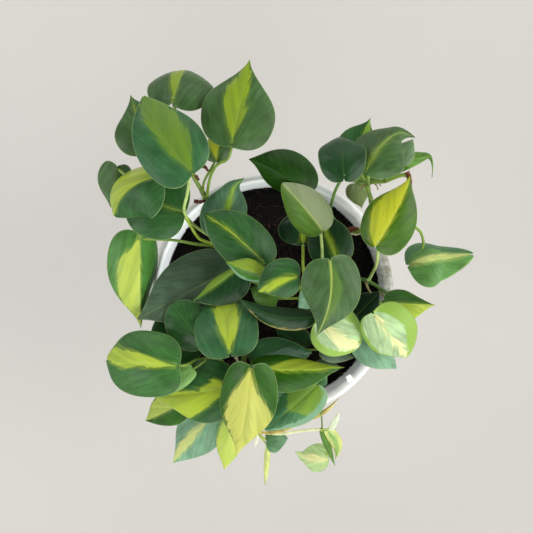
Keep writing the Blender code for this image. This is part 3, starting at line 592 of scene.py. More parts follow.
def tube(path, radii, sides, **marks):
    """A closed round bar along a path: rings in a frame set by the direction the path keeps clear of.

    Each ring is centre plus radius times (cosine across, sine over); the ends close in a point.
    """
    along = unit(np.gradient(path, axis=0))
    clear = np.linalg.svd(along)[2][-1]
    across = unit(np.cross(along, clear))
    over = np.cross(along, across)
    angles = np.linspace(0.0, 2.0 * math.pi, sides, endpoint=False)
    spokes = (np.cos(angles)[None, :, None] * across[:, None]
              + np.sin(angles)[None, :, None] * over[:, None])
    rings = path[:, None] + np.broadcast_to(radii, len(path))[:, None, None] * spokes
    count = len(path) * sides
    points = np.concatenate([rings.reshape(-1, 3), path[:1], path[-1:]])
    i = np.arange(sides)
    j = (i + 1) % sides
    ring = np.arange(len(path) - 1)[:, None] * sides
    quads = np.stack([ring + i, ring + j, ring + sides + j, ring + sides + i], axis=-1).reshape(-1, 4)
    last = count - sides
    triangles = np.concatenate([np.stack([j, i, np.full(sides, count)], axis=1),
                                np.stack([last + i, last + j, np.full(sides, count + 1)], axis=1)])
    spread = {}
    for name, values in marks.items():
        values = np.asarray(values, dtype=float)
        if values.ndim == 1 and len(values) == 4 and name == "tint":
            values = np.broadcast_to(values, (len(path), 4))
        values = np.broadcast_to(values.reshape(len(path), -1) if values.ndim else values.reshape(1, 1),
                                 (len(path), values.shape[-1] if values.ndim > 1 else 1))
        on_rings = np.repeat(values, sides, axis=0)
        spread[name] = np.concatenate([on_rings, values[:1], values[-1:]])
    return {"points": points, "quads": quads, "triangles": triangles, "marks": spread}


def stalk_sheet(blade, colours, node):
    """The leaf stalk: from the vine, through its own points, into the root of the midrib."""
    end = midrib(blade, STALK_REACH)
    ahead = unit(midrib(blade, 2.0 * STALK_REACH) - midrib(blade, 0.0))
    left = unit(np.cross((0.0, 0.0, 1.0), ahead))
    under = np.cross(left, ahead)
    route = [node] + [placed(point) for point in blade["via"]]
    if not blade["via"]:
        rise = end - node
        route.append(node + rise * (0.45, 0.45, 0.62))
    route += [end + KNEE * under, end + RIB_FURROW * under]
    path = smooth_path(route, 7)
    share = np.linspace(0.0, 1.0, len(path))
    radius = np.interp(blade["width"], (SLIVER_WIDTH, NARROW_BELOW), (SLIM_STALK_RADIUS, STALK_RADIUS))
    radii = radius * (1.0 + 0.30 * np.exp(-(share / 0.08) ** 2)
                      + 0.15 * np.exp(-((1.0 - share) / 0.05) ** 2))
    tint = np.array(linear(TINTS[colours["stalk"]]))
    return tube(path, radii, 10, tint=tint, ring=np.zeros(len(path)))


def vine_points(stem):
    """The vine's points in the world, starting deep in the soil."""
    points = [placed(point) for point in stem["vine"]]
    root = points[0] - (0.0, 0.0, STEM_DEPTH)
    neck = points[0] + (0.0, 0.0, NECK)
    return [root, points[0], neck] + points[1:]


def vine_sheet(points, nodes, ends, tint):
    """A vine from one end's radius to the other's, swollen and ringed with brown at its nodes."""
    path = smooth_path(points, 9)
    away = np.linalg.norm(path[:, None] - np.array(nodes)[None], axis=-1).min(axis=1)
    radii = np.linspace(*ends, len(path)) * (1.0 + 0.22 * np.exp(-(away / 2.6) ** 2))
    return tube(path, radii, 14, tint=np.array(linear(TINTS[tint])), ring=np.exp(-(away / 1.4) ** 2))


def add(tree, kind, inputs=None, out=0, **settings):
    """Add a node, with its settings and its inputs by place or name: links or values."""
    made = tree.nodes.new("ShaderNode" + kind)
    for key, value in settings.items():
        setattr(made, key, value)
    for place, source in (inputs or {}).items():
        if isinstance(source, bpy.types.NodeSocket):
            tree.links.new(source, made.inputs[place])
        else:
            made.inputs[place].default_value = source
    return made.outputs[out]


def new_material(name, **sockets):
    """A material with one Principled shader, whose own sockets take the values that don't vary."""
    finish = bpy.data.materials.new(name)
    finish.use_nodes = True
    shader = finish.node_tree.nodes["Principled BSDF"]
    for key, value in sockets.items():
        shader.inputs[key.replace("_", " ")].default_value = value
    return finish, finish.node_tree, shader


def living_leaf():
    """Living leaf, waxy: soft gloss over green tissue, lime where the cells lack their pigment.

    The lime's edge is frayed along the side veins, with half-green streaks on both sides of it.
    The midrib is a pale line, the side veins fine furrows, and the underside duller and paler.
    """
    finish, tree, shader = new_material("living_leaf_waxy", IOR=1.42, Specular_IOR_Level=0.35)
    grain = add(tree, "Attribute", out="Vector", attribute_name="grain")
    ragged = add(tree, "Attribute", out="Fac", attribute_name="ragged")
    lime_depth = add(tree, "Attribute", out="Fac", attribute_name="lime_depth")
    edge_depth = add(tree, "Attribute", out="Fac", attribute_name="edge_depth")
    rib_depth = add(tree, "Attribute", out="Fac", attribute_name="rib_depth")
    rib_tone = add(tree, "Attribute", out="Fac", attribute_name="rib_tone")
    veins = add(tree, "Attribute", out="Fac", attribute_name="veins")
    vein_fade = add(tree, "Attribute", out="Fac", attribute_name="vein_fade")
    under = add(tree, "Attribute", out="Fac", attribute_name="under")
    from_margin = add(tree, "Attribute", out="Fac", attribute_name="from_margin")
    green = add(tree, "Attribute", out="Color", attribute_name="green")
    lime = add(tree, "Attribute", out="Color", attribute_name="lime")
    edge = add(tree, "Attribute", out="Color", attribute_name="edge")
    place = add(tree, "TexCoord", out="Object")

    # streaks run forward and a little outward: the grain counts their lengths and widths
    streaks = add(tree, "TexNoise", {"Vector": grain, "Scale": 1.0, "Detail": 3.0, "Roughness": 0.6})
    finer = add(tree, "TexNoise", {"Vector": grain, "Scale": 1.9, "Detail": 2.0})
    fray = add(tree, "Math", {0: streaks, 1: 0.5}, operation="SUBTRACT")
    fray = add(tree, "Math", {0: fray, 1: ragged}, operation="MULTIPLY")
    frayed = add(tree, "Math", {0: fray, 1: 12.0, 2: lime_depth}, operation="MULTIPLY_ADD")
    solid = add(tree, "MapRange", {"Value": frayed, "From Min": -0.5, "From Max": 0.5},
                interpolation_type="SMOOTHSTEP")
    halo = add(tree, "MapRange", {"Value": frayed, "From Min": -2.6, "From Max": -0.6, "To Max": 0.30},
               interpolation_type="SMOOTHSTEP")
    limed = add(tree, "Math", {0: solid, 1: halo}, operation="MAXIMUM")
    flecks = add(tree, "MapRange", {"Value": finer, "From Min": 0.56, "From Max": 0.66,
                                    "To Min": 1.0, "To Max": 0.88}, interpolation_type="SMOOTHSTEP")
    limed = add(tree, "Math", {0: limed, 1: flecks}, operation="MULTIPLY")

    # the lime is washed with half-green along the blade
    washes = add(tree, "TexNoise", {"Vector": grain, "Scale": 0.45, "Detail": 1.0})
    wash = add(tree, "MapRange", {"Value": washes, "From Min": 0.42, "From Max": 0.62,
                                  "To Max": 0.24}, interpolation_type="SMOOTHSTEP")
    lime = add(tree, "Mix", {0: wash, 6: lime, 7: green}, 2, data_type="RGBA")

    # cells differ a little over a centimetre or so
    patches = add(tree, "TexNoise", {"Vector": place, "Scale": 70.0, "Detail": 2.0})
    tone = add(tree, "MapRange", {"Value": patches, "From Min": 0.3, "From Max": 0.7,
                                  "To Min": 0.78, "To Max": 1.2})
    fibres = add(tree, "TexNoise", {"Vector": grain, "Scale": 1.3, "Detail": 3.0, "Roughness": 0.65})
    fibre_tone = add(tree, "MapRange", {"Value": fibres, "From Min": 0.35, "From Max": 0.65,
                                        "To Min": 0.82, "To Max": 1.2})
    tone = add(tree, "Math", {0: tone, 1: fibre_tone}, operation="MULTIPLY")
    varied = add(tree, "VectorMath", {0: green, "Scale": tone}, operation="SCALE")
    # the second colour is lime tissue, but on the blades named sheen and pale it is a grey of painted sheen
    colour = add(tree, "Mix", {0: limed, 6: varied, 7: lime}, 2, data_type="RGBA")
    edge_frayed = add(tree, "Math", {0: fray, 1: 9.0, 2: edge_depth}, operation="MULTIPLY_ADD")
    edged = add(tree, "MapRange", {"Value": edge_frayed, "From Min": -0.6, "From Max": 0.6,
                                   "To Max": 0.9}, interpolation_type="SMOOTHSTEP")
    colour = add(tree, "Mix", {0: edged, 6: colour, 7: edge}, 2, data_type="RGBA")

    # side veins are fine lines, lighter than the tissue
    line = add(tree, "Math", {0: veins, 1: 0.5}, operation="PINGPONG")
    line = add(tree, "MapRange", {"Value": line, "From Min": 0.0, "From Max": 0.12,
                                  "To Min": 1.0, "To Max": 0.0}, interpolation_type="SMOOTHSTEP")
    line = add(tree, "Math", {0: line, 1: vein_fade}, operation="MULTIPLY")
    faint = add(tree, "Math", {0: line, 1: 0.035}, operation="MULTIPLY")
    colour = add(tree, "Mix", {0: faint, 6: colour, 7: linear("#8db06a")}, 2, data_type="RGBA")
    rib = add(tree, "MapRange", {"Value": rib_depth, "From Min": -0.35, "From Max": 0.3},
              interpolation_type="SMOOTHSTEP")
    shown = add(tree, "Math", {0: rib, 1: rib_tone}, operation="MULTIPLY")
    shown = add(tree, "Math", {0: shown, 1: 0.40}, operation="MULTIPLY")
    colour = add(tree, "Mix", {0: shown, 6: colour, 7: linear("#b7c765")}, 2, data_type="RGBA")
    # the margin is a thin, clearer line
    margin = add(tree, "MapRange", {"Value": from_margin, "From Min": 0.25, "From Max": 0.7,
                                    "To Min": 0.35, "To Max": 0.0})
    colour = add(tree, "Mix", {0: margin, 6: colour, 7: linear("#a9c07c")}, 2, data_type="RGBA")
    paler = add(tree, "Math", {0: under, 1: 0.45}, operation="MULTIPLY")
    colour = add(tree, "Mix", {0: paler, 6: colour, 7: linear("#6f8f62")}, 2, data_type="RGBA")
    tree.links.new(colour, shader.inputs["Base Color"])

    rough = add(tree, "MapRange", {"Value": patches, "From Min": 0.3, "From Max": 0.7,
                                   "To Min": 0.30, "To Max": 0.42})
    rough = add(tree, "Math", {0: under, 1: 0.22, 2: rough}, operation="MULTIPLY_ADD")
    tree.links.new(rough, shader.inputs["Roughness"])
    # the waxy skin's cells, drawn at 0.7 mm so that they show
    cells = add(tree, "TexNoise", {"Vector": place, "Scale": 1400.0, "Detail": 1.0})
    height = add(tree, "Math", {0: cells, 1: 0.12}, operation="MULTIPLY")
    height = add(tree, "Math", {0: line, 1: -0.12, 2: height}, operation="MULTIPLY_ADD")
    height = add(tree, "Math", {0: rib, 1: 0.5, 2: height}, operation="MULTIPLY_ADD")
    bump = add(tree, "Bump", {"Height": height, "Strength": 0.6, "Distance": 0.25 * MM})
    tree.links.new(bump, shader.inputs["Normal"])
    return finish


def stem_skin():
    """Green stem skin, smooth and faintly ribbed, with brown leaf scars at the nodes."""
    finish, tree, shader = new_material("stem_skin_green", IOR=1.44, Roughness=0.42)
    tint = add(tree, "Attribute", out="Color", attribute_name="tint")
    ring = add(tree, "Attribute", out="Fac", attribute_name="ring")
    place = add(tree, "TexCoord", out="Object")
    patches = add(tree, "TexNoise", {"Vector": place, "Scale": 160.0, "Detail": 3.0})
    tone = add(tree, "MapRange", {"Value": patches, "From Min": 0.3, "From Max": 0.7,
                                  "To Min": 0.78, "To Max": 1.15})
    colour = add(tree, "VectorMath", {0: tint, "Scale": tone}, operation="SCALE")
    scar = add(tree, "Math", {0: ring, 1: patches}, operation="MULTIPLY")
    scar = add(tree, "MapRange", {"Value": scar, "From Min": 0.18, "From Max": 0.5, "To Max": 0.75},
               interpolation_type="SMOOTHSTEP")
    colour = add(tree, "Mix", {0: scar, 6: colour, 7: linear("#6b4a2c")}, 2, data_type="RGBA")
    tree.links.new(colour, shader.inputs["Base Color"])
    cells = add(tree, "TexNoise", {"Vector": place, "Scale": 900.0, "Detail": 1.0})
    bump = add(tree, "Bump", {"Height": cells, "Strength": 0.35, "Distance": 0.2 * MM})
    tree.links.new(bump, shader.inputs["Normal"])
    return finish


def white_glaze():
    """White glaze over stoneware, fired glossy: it flows a little thin and uneven on the wall.

    Soil has stained it just above the soil inside, and small dark specks came up in the firing.
    """
    finish, tree, shader = new_material("glazed_stoneware_white", IOR=1.52, Coat_Weight=0.3,
                                        Coat_Roughness=0.04)
    place = add(tree, "TexCoord", out="Object")
    split = add(tree, "SeparateXYZ", {"Vector": place}).node
    flat = add(tree, "Mapping", {"Vector": place, "Scale": (1.0, 1.0, 0.0)})
    radius = add(tree, "VectorMath", {0: flat}, "Value", operation="LENGTH")
    cloud = add(tree, "TexNoise", {"Vector": place, "Scale": 60.0, "Detail": 4.0})
    # soil stains: inside the wall, up to about a centimetre above the soil, in blotches
    inside = add(tree, "MapRange", {"Value": radius, "From Min": (RIM_RADIUS - 3.8) * MM,
                                    "From Max": (RIM_RADIUS - 5.5) * MM})
    above = add(tree, "MapRange", {"Value": split.outputs["Z"],
                                   "From Min": (POT_HEIGHT - SOIL_BELOW_RIM - 3.0) * MM,
                                   "From Max": (POT_HEIGHT - SOIL_BELOW_RIM - 1.0) * MM})
    inside = add(tree, "Math", {0: inside, 1: above}, operation="MULTIPLY")
    lip = add(tree, "MapRange", {"Value": split.outputs["Z"], "From Min": (POT_HEIGHT - 12.0) * MM,
                                 "From Max": (POT_HEIGHT - 4.0) * MM})
    low = add(tree, "MapRange", {"Value": split.outputs["Z"],
                                 "From Min": (POT_HEIGHT - 4.0) * MM,
                                 "From Max": (POT_HEIGHT - SOIL_BELOW_RIM) * MM})
    stain = add(tree, "Math", {0: cloud, 1: low}, operation="MULTIPLY")
    stain = add(tree, "MapRange", {"Value": stain, "From Min": 0.32, "From Max": 0.52, "To Max": 0.55},
                interpolation_type="SMOOTHSTEP")
    stain = add(tree, "Math", {0: stain, 1: inside}, operation="MULTIPLY")
    side = add(tree, "MapRange", {"Value": split.outputs["X"], "From Min": 20.0 * MM,
                                  "From Max": 75.0 * MM, "To Min": 0.15, "To Max": 1.0})
    stain = add(tree, "Math", {0: stain, 1: side}, operation="MULTIPLY")
    colour = add(tree, "Mix", {0: cloud, 6: linear("#fbfbfa"), 7: linear("#f3f5f4")}, 2,
                 data_type="RGBA")
    # a dried earthy film down the wall and over the lip on the right, in streaks
    east = add(tree, "Mapping", {"Vector": place, "Location": (-84.0 * MM, -16.0 * MM, 0.0)})
    east = add(tree, "Mapping", {"Vector": east, "Scale": (1.0, 0.55, 0.25)})
    east = add(tree, "VectorMath", {0: east}, "Value", operation="LENGTH")
    east = add(tree, "MapRange", {"Value": east, "From Min": 36.0 * MM, "From Max": 41.0 * MM,
                                  "To Min": 0.95, "To Max": 0.0}, interpolation_type="SMOOTHSTEP")
    reached = add(tree, "Math", {0: lip, 1: inside}, operation="MAXIMUM")
    east = add(tree, "Math", {0: east, 1: reached}, operation="MULTIPLY")
    down = add(tree, "Mapping", {"Vector": place, "Scale": (260.0, 260.0, 30.0)})
    streaks = add(tree, "TexNoise", {"Vector": down, "Scale": 1.0, "Detail": 3.0})
    streaks = add(tree, "MapRange", {"Value": streaks, "From Min": 0.35, "From Max": 0.6,
                                     "To Min": 0.35, "To Max": 1.0})
    film = add(tree, "Math", {0: east, 1: streaks}, operation="MULTIPLY")
    colour = add(tree, "Mix", {0: film, 6: colour, 7: linear("#948c6c")}, 2, data_type="RGBA")
    colour = add(tree, "Mix", {0: stain, 6: colour, 7: linear("#93826a")}, 2, data_type="RGBA")
    # painted light: the glaze glows on the inner wall, standing for light thrown about between the far wall and
    # the near one, strongest on the bright left side and fading out at the soil
    painted_glow = add(tree, "MapRange", {"Value": split.outputs["X"], "From Min": -60.0 * MM,
                                 "From Max": 60.0 * MM, "To Min": 0.75, "To Max": 0.12})
    painted_glow = add(tree, "Math", {0: painted_glow, 1: inside}, operation="MULTIPLY")
    shade = add(tree, "MapRange", {"Value": split.outputs["Z"],
                                   "From Min": (POT_HEIGHT - SOIL_BELOW_RIM) * MM,
                                   "From Max": (POT_HEIGHT - SOIL_BELOW_RIM + 5.0) * MM})
    painted_glow = add(tree, "Math", {0: painted_glow, 1: shade}, operation="MULTIPLY")
    # painted reflection: a small turned square of glow on the lip stands for a window's image in the glaze
    reflection_frame = add(tree, "Mapping", {"Vector": place, "Location": (-57.2 * MM, 61.5 * MM, 0.0)})
    reflection_frame = add(tree, "Mapping", {"Vector": reflection_frame, "Rotation": (0.0, 0.0, math.radians(-32.0))})
    reflection_frame = add(tree, "VectorMath", {0: reflection_frame}, operation="ABSOLUTE")
    reflection_frame = add(tree, "SeparateXYZ", {0: reflection_frame}).node
    painted_reflection = add(tree, "Math", {0: reflection_frame.outputs["X"], 1: reflection_frame.outputs["Y"]}, operation="MAXIMUM")
    painted_reflection = add(tree, "MapRange", {"Value": painted_reflection, "From Min": 1.8 * MM, "From Max": 2.3 * MM,
                                   "To Min": 1.1, "To Max": 0.0})
    painted_reflection = add(tree, "Math", {0: painted_reflection, 1: lip}, operation="MULTIPLY")
    painted_glow = add(tree, "Math", {0: painted_glow, 1: painted_reflection}, operation="MAXIMUM")
    tree.links.new(painted_glow, shader.inputs["Emission Strength"])
    # the colour of the painted glow and of the painted window reflection
    shader.inputs["Emission Color"].default_value = linear("#eef4f5")
    grit = add(tree, "TexVoronoi", {"Vector": place, "Scale": 210.0}, "Distance")
    speck = add(tree, "MapRange", {"Value": grit, "From Min": 0.03, "From Max": 0.07,
                                   "To Min": 0.5, "To Max": 0.0})
    rare = add(tree, "TexNoise", {"Vector": place, "Scale": 90.0}, "Fac")
    rare = add(tree, "MapRange", {"Value": rare, "From Min": 0.58, "From Max": 0.62})
    speck = add(tree, "Math", {0: speck, 1: rare}, operation="MULTIPLY")
    colour = add(tree, "Mix", {0: speck, 6: colour, 7: linear("#8b7a66")}, 2, data_type="RGBA")
    foot = add(tree, "MapRange", {"Value": split.outputs["Z"], "From Min": 0.8 * MM,
                                  "From Max": 1.3 * MM, "To Min": 1.0, "To Max": 0.0})
    colour = add(tree, "Mix", {0: foot, 6: colour, 7: linear("#cbbba4")}, 2, data_type="RGBA")
    tree.links.new(colour, shader.inputs["Base Color"])
    dull = add(tree, "Math", {0: stain, 1: foot}, operation="MAXIMUM")
    rough = add(tree, "MapRange", {"Value": dull, "To Min": 0.14, "To Max": 0.75})
    tree.links.new(rough, shader.inputs["Roughness"])
    ripple = add(tree, "TexNoise", {"Vector": place, "Scale": 35.0, "Detail": 2.0})
    bump = add(tree, "Bump", {"Height": ripple, "Strength": 0.25, "Distance": 0.8 * MM})
    tree.links.new(bump, shader.inputs["Normal"])
    return finish


def potting_soil():
    """Moist peat and bark: near black, crumbly, quite dull; each crumb has its own tint."""
    finish, tree, shader = new_material("potting_soil_moist", Roughness=0.9, Specular_IOR_Level=0.25)
    place = add(tree, "TexCoord", out="Object")
    tint = add(tree, "Attribute", out="Color", attribute_name="tint")
    grains = add(tree, "TexNoise", {"Vector": place, "Scale": 420.0, "Detail": 5.0,
                                    "Roughness": 0.7})
    tone = add(tree, "MapRange", {"Value": grains, "From Min": 0.3, "From Max": 0.7,
                                  "To Min": 0.25, "To Max": 1.4})
    colour = add(tree, "VectorMath", {0: tint, "Scale": tone}, operation="SCALE")
    tree.links.new(colour, shader.inputs["Base Color"])
    bump = add(tree, "Bump", {"Height": grains, "Strength": 0.9, "Distance": 0.8 * MM})
    tree.links.new(bump, shader.inputs["Normal"])
    return finish


def dry_sheath():
    """Papery brown bud sheath and corky aerial root: dull, with long pale and dark streaks."""
    finish, tree, shader = new_material("papery_sheath_brown", Roughness=0.7)
    place = add(tree, "TexCoord", out="Object")
    tint = add(tree, "Attribute", out="Color", attribute_name="tint")
    bark = add(tree, "TexNoise", {"Vector": place, "Scale": 500.0, "Detail": 4.0})
    tone = add(tree, "MapRange", {"Value": bark, "From Min": 0.3, "From Max": 0.7,
                                  "To Min": 0.6, "To Max": 1.35})
    colour = add(tree, "VectorMath", {0: tint, "Scale": tone}, operation="SCALE")
    tree.links.new(colour, shader.inputs["Base Color"])
    bump = add(tree, "Bump", {"Height": bark, "Strength": 0.5, "Distance": 0.3 * MM})
    tree.links.new(bump, shader.inputs["Normal"])
    return finish


def backdrop_finish():
    """Light table: a pale, warm, matt sheet, half of whose brightness comes from lamps below it."""
    finish, tree, shader = new_material("light_table_pale", Roughness=0.95, Specular_IOR_Level=0.1,
                                        Emission_Strength=TABLE_GLOW)
    place = add(tree, "TexCoord", out="Object")
    away = add(tree, "VectorMath", {0: place}, "Value", operation="LENGTH")
    glow = add(tree, "MapRange", {"Value": away, "From Min": 1.2, "From Max": 3.5,
                                  "To Min": TABLE_GLOW, "To Max": 1.05})
    # the lamps below make up for the stronger panels on the near right
    across = add(tree, "VectorMath", {0: place, 1: (1.0, -1.0, 0.0)}, "Value", operation="DOT_PRODUCT")
    evened = add(tree, "MapRange", {"Value": across, "From Min": -0.35, "From Max": 0.35,
                                    "To Min": 0.04, "To Max": -0.06})
    glow = add(tree, "Math", {0: glow, 1: evened})
    tree.links.new(glow, shader.inputs["Emission Strength"])
    cloud = add(tree, "TexNoise", {"Vector": place, "Scale": 1.5, "Detail": 2.0})
    colour = add(tree, "Mix", {0: cloud, 6: linear("#acaaa5"), 7: linear("#aaa8a4")}, 2,
                 data_type="RGBA")
    tree.links.new(colour, shader.inputs["Base Color"])
    shader.inputs["Emission Color"].default_value = linear("#e0ddd8")
    return finish


MARK_TYPES = {1: ("FLOAT", "value"), 3: ("FLOAT_VECTOR", "vector"), 4: ("FLOAT_COLOR", "color")}


def piece(name, sheets, finish, slot, *nodes):
    """One object from several closed sheets, laid end to end, riding on the part's one body."""
    starts = np.cumsum([0] + [len(sheet["points"]) for sheet in sheets])
    faces = []
    for sheet, start in zip(sheets, starts):
        faces += (sheet["quads"] + start).tolist()
        faces += (sheet["triangles"] + start).tolist() if "triangles" in sheet else []
    mesh = bpy.data.meshes.new(name)
    points = np.concatenate([sheet["points"] for sheet in sheets]) * MM
    mesh.from_pydata(points.tolist(), [], faces)
    for mark in sheets[0].get("marks", {}):
        values = np.concatenate([sheet["marks"][mark].reshape(len(sheet["points"]), -1)
                                 for sheet in sheets])
        kind, field = MARK_TYPES[values.shape[1]]
        layer = mesh.attributes.new(mark, kind, "POINT")
        layer.data.foreach_set(field, values.astype(np.float32).ravel())
    mesh.shade_smooth()
    mesh.materials.append(finish)
    thing = bpy.data.objects.new(name, mesh)
    bpy.context.scene.collection.objects.link(thing)
    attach(thing, "root")
    if nodes:
        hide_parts(*nodes)
    return thing


def outer_radius(height):
    """The pot's outside radius at a height: a cone with a slight swell."""
    share = height / POT_HEIGHT
    return BASE_RADIUS + (RIM_RADIUS - BASE_RADIUS) * share ** 0.8


def inner_radius(height):
    """The inside radius, one wall in from the outside."""
    return outer_radius(height) - WALL


def arc(centre, radius, start, end, steps):
    """Points on an arc in the profile plane, angles in degrees from the outward direction."""
    angles = np.radians(np.linspace(start, end, steps))
    return np.stack([centre[0] + radius * np.cos(angles), centre[1] + radius * np.sin(angles)], axis=1)


def wall_line(radius_at, start, end, steps):
    """Profile points down or up a wall, whose radius is a function of the height."""
    heights = np.linspace(start, end, steps)
    return np.stack([radius_at(heights), heights], axis=1)


def turned(profile, segments, wave=None):
    """A closed solid turned about Z from a profile of (radius, height), both ends on the axis.

    wave, where given, lifts each point by a function of its x, y and z.
    """
    turn = np.linspace(0.0, 2.0 * math.pi, segments, endpoint=False)
    radius, height = np.array(profile[1:-1]).T
    rings = np.stack([np.outer(radius, np.cos(turn)), np.outer(radius, np.sin(turn)),
                      np.repeat(height[:, None], segments, axis=1)], axis=-1).reshape(-1, 3)
    ends = np.array([(0.0, 0.0, profile[0][1]), (0.0, 0.0, profile[-1][1])])
    points = np.concatenate([rings, ends])
    if wave:
        points[:, 2] += wave(*points.T)
    i = np.arange(segments)
    j = (i + 1) % segments
    ring = np.arange(len(radius) - 1)[:, None] * segments
    quads = np.stack([ring + i, ring + j, ring + segments + j, ring + segments + i], axis=-1)
    count = len(rings)
    last = count - segments
    triangles = np.concatenate([np.stack([j, i, np.full(segments, count)], axis=1),
                                np.stack([last + i, last + j, np.full(segments, count + 1)], axis=1)])
    return {"points": points, "quads": quads.reshape(-1, 4), "triangles": triangles, "marks": {}}


def make_pot(finish):
    """The pot: flat underside, rounded foot, swelling wall, soft rim and a deep round inside."""
    crown = POT_HEIGHT - RIM_ROUNDING
    corner = inner_radius(FLOOR + INNER_ROUNDING) - INNER_ROUNDING
    profile = np.concatenate([
        [(0.0, 0.0)],
        wall_line(lambda height: np.linspace(10.0, BASE_RADIUS - FOOT_ROUNDING - 1.0, 6), 0.0, 0.0, 6),
        arc((BASE_RADIUS - FOOT_ROUNDING, FOOT_ROUNDING), FOOT_ROUNDING, -90, 0, 8),
        wall_line(outer_radius, FOOT_ROUNDING + 4.0, crown - 3.0, 26),
        arc((RIM_RADIUS - RIM_ROUNDING, crown), RIM_ROUNDING, 0, 180, 15),
        wall_line(inner_radius, crown - 3.0, FLOOR + INNER_ROUNDING + 3.0, 26),
        arc((corner, FLOOR + INNER_ROUNDING), INNER_ROUNDING, 0, -90, 8),
        [(corner / 2.0, FLOOR), (0.0, FLOOR)],
    ])
    return piece("glazed_pot", [turned(profile, TURN_STEPS)], finish, "glaze", "pot")


def soil_relief(x, y, z):
    """Low rolling bumps on the soil's top, crumbly on top of that, fading out at its edge."""
    away = np.clip(1.0 - (np.hypot(x, y) / (RIM_RADIUS - WALL)) ** 4, 0.0, 1.0)
    bumps = np.sin(x / 9.0 + 1.3) * np.cos(y / 11.0 - 0.4) + 0.6 * np.sin((x + 2 * y) / 13.0)
    crumbs = 0.0
    for heading in (0.3, 1.1, 2.0, 2.7):
        waves = x * math.cos(heading) + y * math.sin(heading)
        others = y * math.cos(heading) - x * math.sin(heading)
        crumbs = crumbs + np.sin(waves / 0.9 + 2.0 * np.sin(others / 2.3 + heading))
    top = z > POT_HEIGHT - SOIL_BELOW_RIM - 0.5
    return np.where(top, SOIL_BUMP * bumps * away + 0.22 * crumbs, 0.0)


SOIL_TINTS = ("#171310", "#1f1812", "#0e0c0a", "#30211a", "#4b3123", "#6d5d4e")
SOIL_CHANCES = (0.36, 0.28, 0.23, 0.095, 0.03, 0.005)
CRUMBS = 2100
FIBRES = 420


def make_soil(finish):
    """The soil: a plug that fills the pot's inside, with a crumbly top."""
    top = POT_HEIGHT - SOIL_BELOW_RIM
    corner = inner_radius(FLOOR + INNER_ROUNDING) - INNER_ROUNDING
    clear = SEAT_GAP + 0.1
    rim = inner_radius(top) - clear
    profile = np.concatenate([
        [(0.0, FLOOR + SEAT_GAP)],
        arc((corner, FLOOR + INNER_ROUNDING), INNER_ROUNDING - SEAT_GAP, -90, 0, 6),
        wall_line(lambda height: inner_radius(height) - clear, FLOOR + 12.0, top - 1.0, 8),
        np.stack([np.linspace(rim, 1.0, 84), np.full(84, top)], axis=1),
        [(0.0, top)],
    ])
    plug = turned(profile, 260, soil_relief)
    plug["marks"] = {"tint": np.broadcast_to(linear(SOIL_TINTS[0]), (len(plug["points"]), 4))}
    return piece("soil_plug", [plug], finish, "soil", "soil")


def soil_places(count, rim):
    """Random places spread evenly over the soil's top: x, y and the surface's height there."""
    radius = rim * np.sqrt(DRAWS.random(count))
    turn = DRAWS.uniform(0.0, 2.0 * math.pi, count)
    x, y = radius * np.cos(turn), radius * np.sin(turn)
    top = np.full(count, POT_HEIGHT - SOIL_BELOW_RIM)
    return np.stack([x, y, top + soil_relief(x, y, top)], axis=1)


def wall_places(count, rim):
    """Random places against the wall, where watering has thrown crumbs up a little."""
    turn = DRAWS.uniform(0.0, 2.0 * math.pi, count)
    inward = DRAWS.uniform(0.3, 3.0, count)
    height = POT_HEIGHT - SOIL_BELOW_RIM + (3.0 - inward) * DRAWS.uniform(0.0, 1.0, count)
    return np.stack([(rim - inward) * np.cos(turn), (rim - inward) * np.sin(turn), height], axis=1)


def make_crumbs(finish):
    """Loose crumbs of peat and bark: dented 20-sided lumps, stretched and turned at random."""
    golden = (1.0 + math.sqrt(5.0)) / 2.0
    corners = np.array([(0.0, s, t * golden) for s in (-1, 1) for t in (-1, 1)])
    corners = unit(np.concatenate([corners, np.roll(corners, 1, axis=1), np.roll(corners, 2, axis=1)]))
    near = np.linalg.norm(corners[:, None] - corners[None], axis=-1) < 1.1
    faces = [(i, j, k) for i in range(12) for j in range(i + 1, 12) for k in range(j + 1, 12)
             if near[i, j] and near[j, k] and near[i, k]]
    outward = [np.linalg.det(corners[list(face)]) > 0 for face in faces]
    faces = np.array([face if out else face[::-1] for face, out in zip(faces, outward)])
    size = 0.45 + 1.5 * DRAWS.random(CRUMBS) ** 3
    stretch = size[:, None] * DRAWS.uniform(0.55, 1.35, (CRUMBS, 3))
    dents = DRAWS.uniform(0.7, 1.15, (CRUMBS, 12, 1))
    turns = np.linalg.qr(DRAWS.normal(size=(CRUMBS, 3, 3)))[0]
    turns *= np.sign(np.linalg.det(turns))[:, None, None]
    lumps = np.einsum("nij,nkj->nki", turns, corners * dents * stretch[:, None])
    rim = inner_radius(POT_HEIGHT - SOIL_BELOW_RIM)
    thrown = wall_places(CRUMBS // 3, rim)
    places = np.concatenate([soil_places(CRUMBS - len(thrown), rim - 3.0), thrown])
    points = (lumps + places[:, None] + (0.0, 0.0, 0.2)).reshape(-1, 3)
    triangles = (faces[None] + 12 * np.arange(CRUMBS)[:, None, None]).reshape(-1, 3)
    tints = np.array([linear(tint) for tint in SOIL_TINTS])
    chosen = tints[DRAWS.choice(len(tints), CRUMBS, p=SOIL_CHANCES)]
    sheet = {"points": points, "quads": np.zeros((0, 4), int), "triangles": triangles,
             "marks": {"tint": np.repeat(chosen, 12, axis=0)}}
    crumbs = piece("soil_crumbs", [sheet], finish, "soil")
    crumbs.data.shade_flat()
    return crumbs


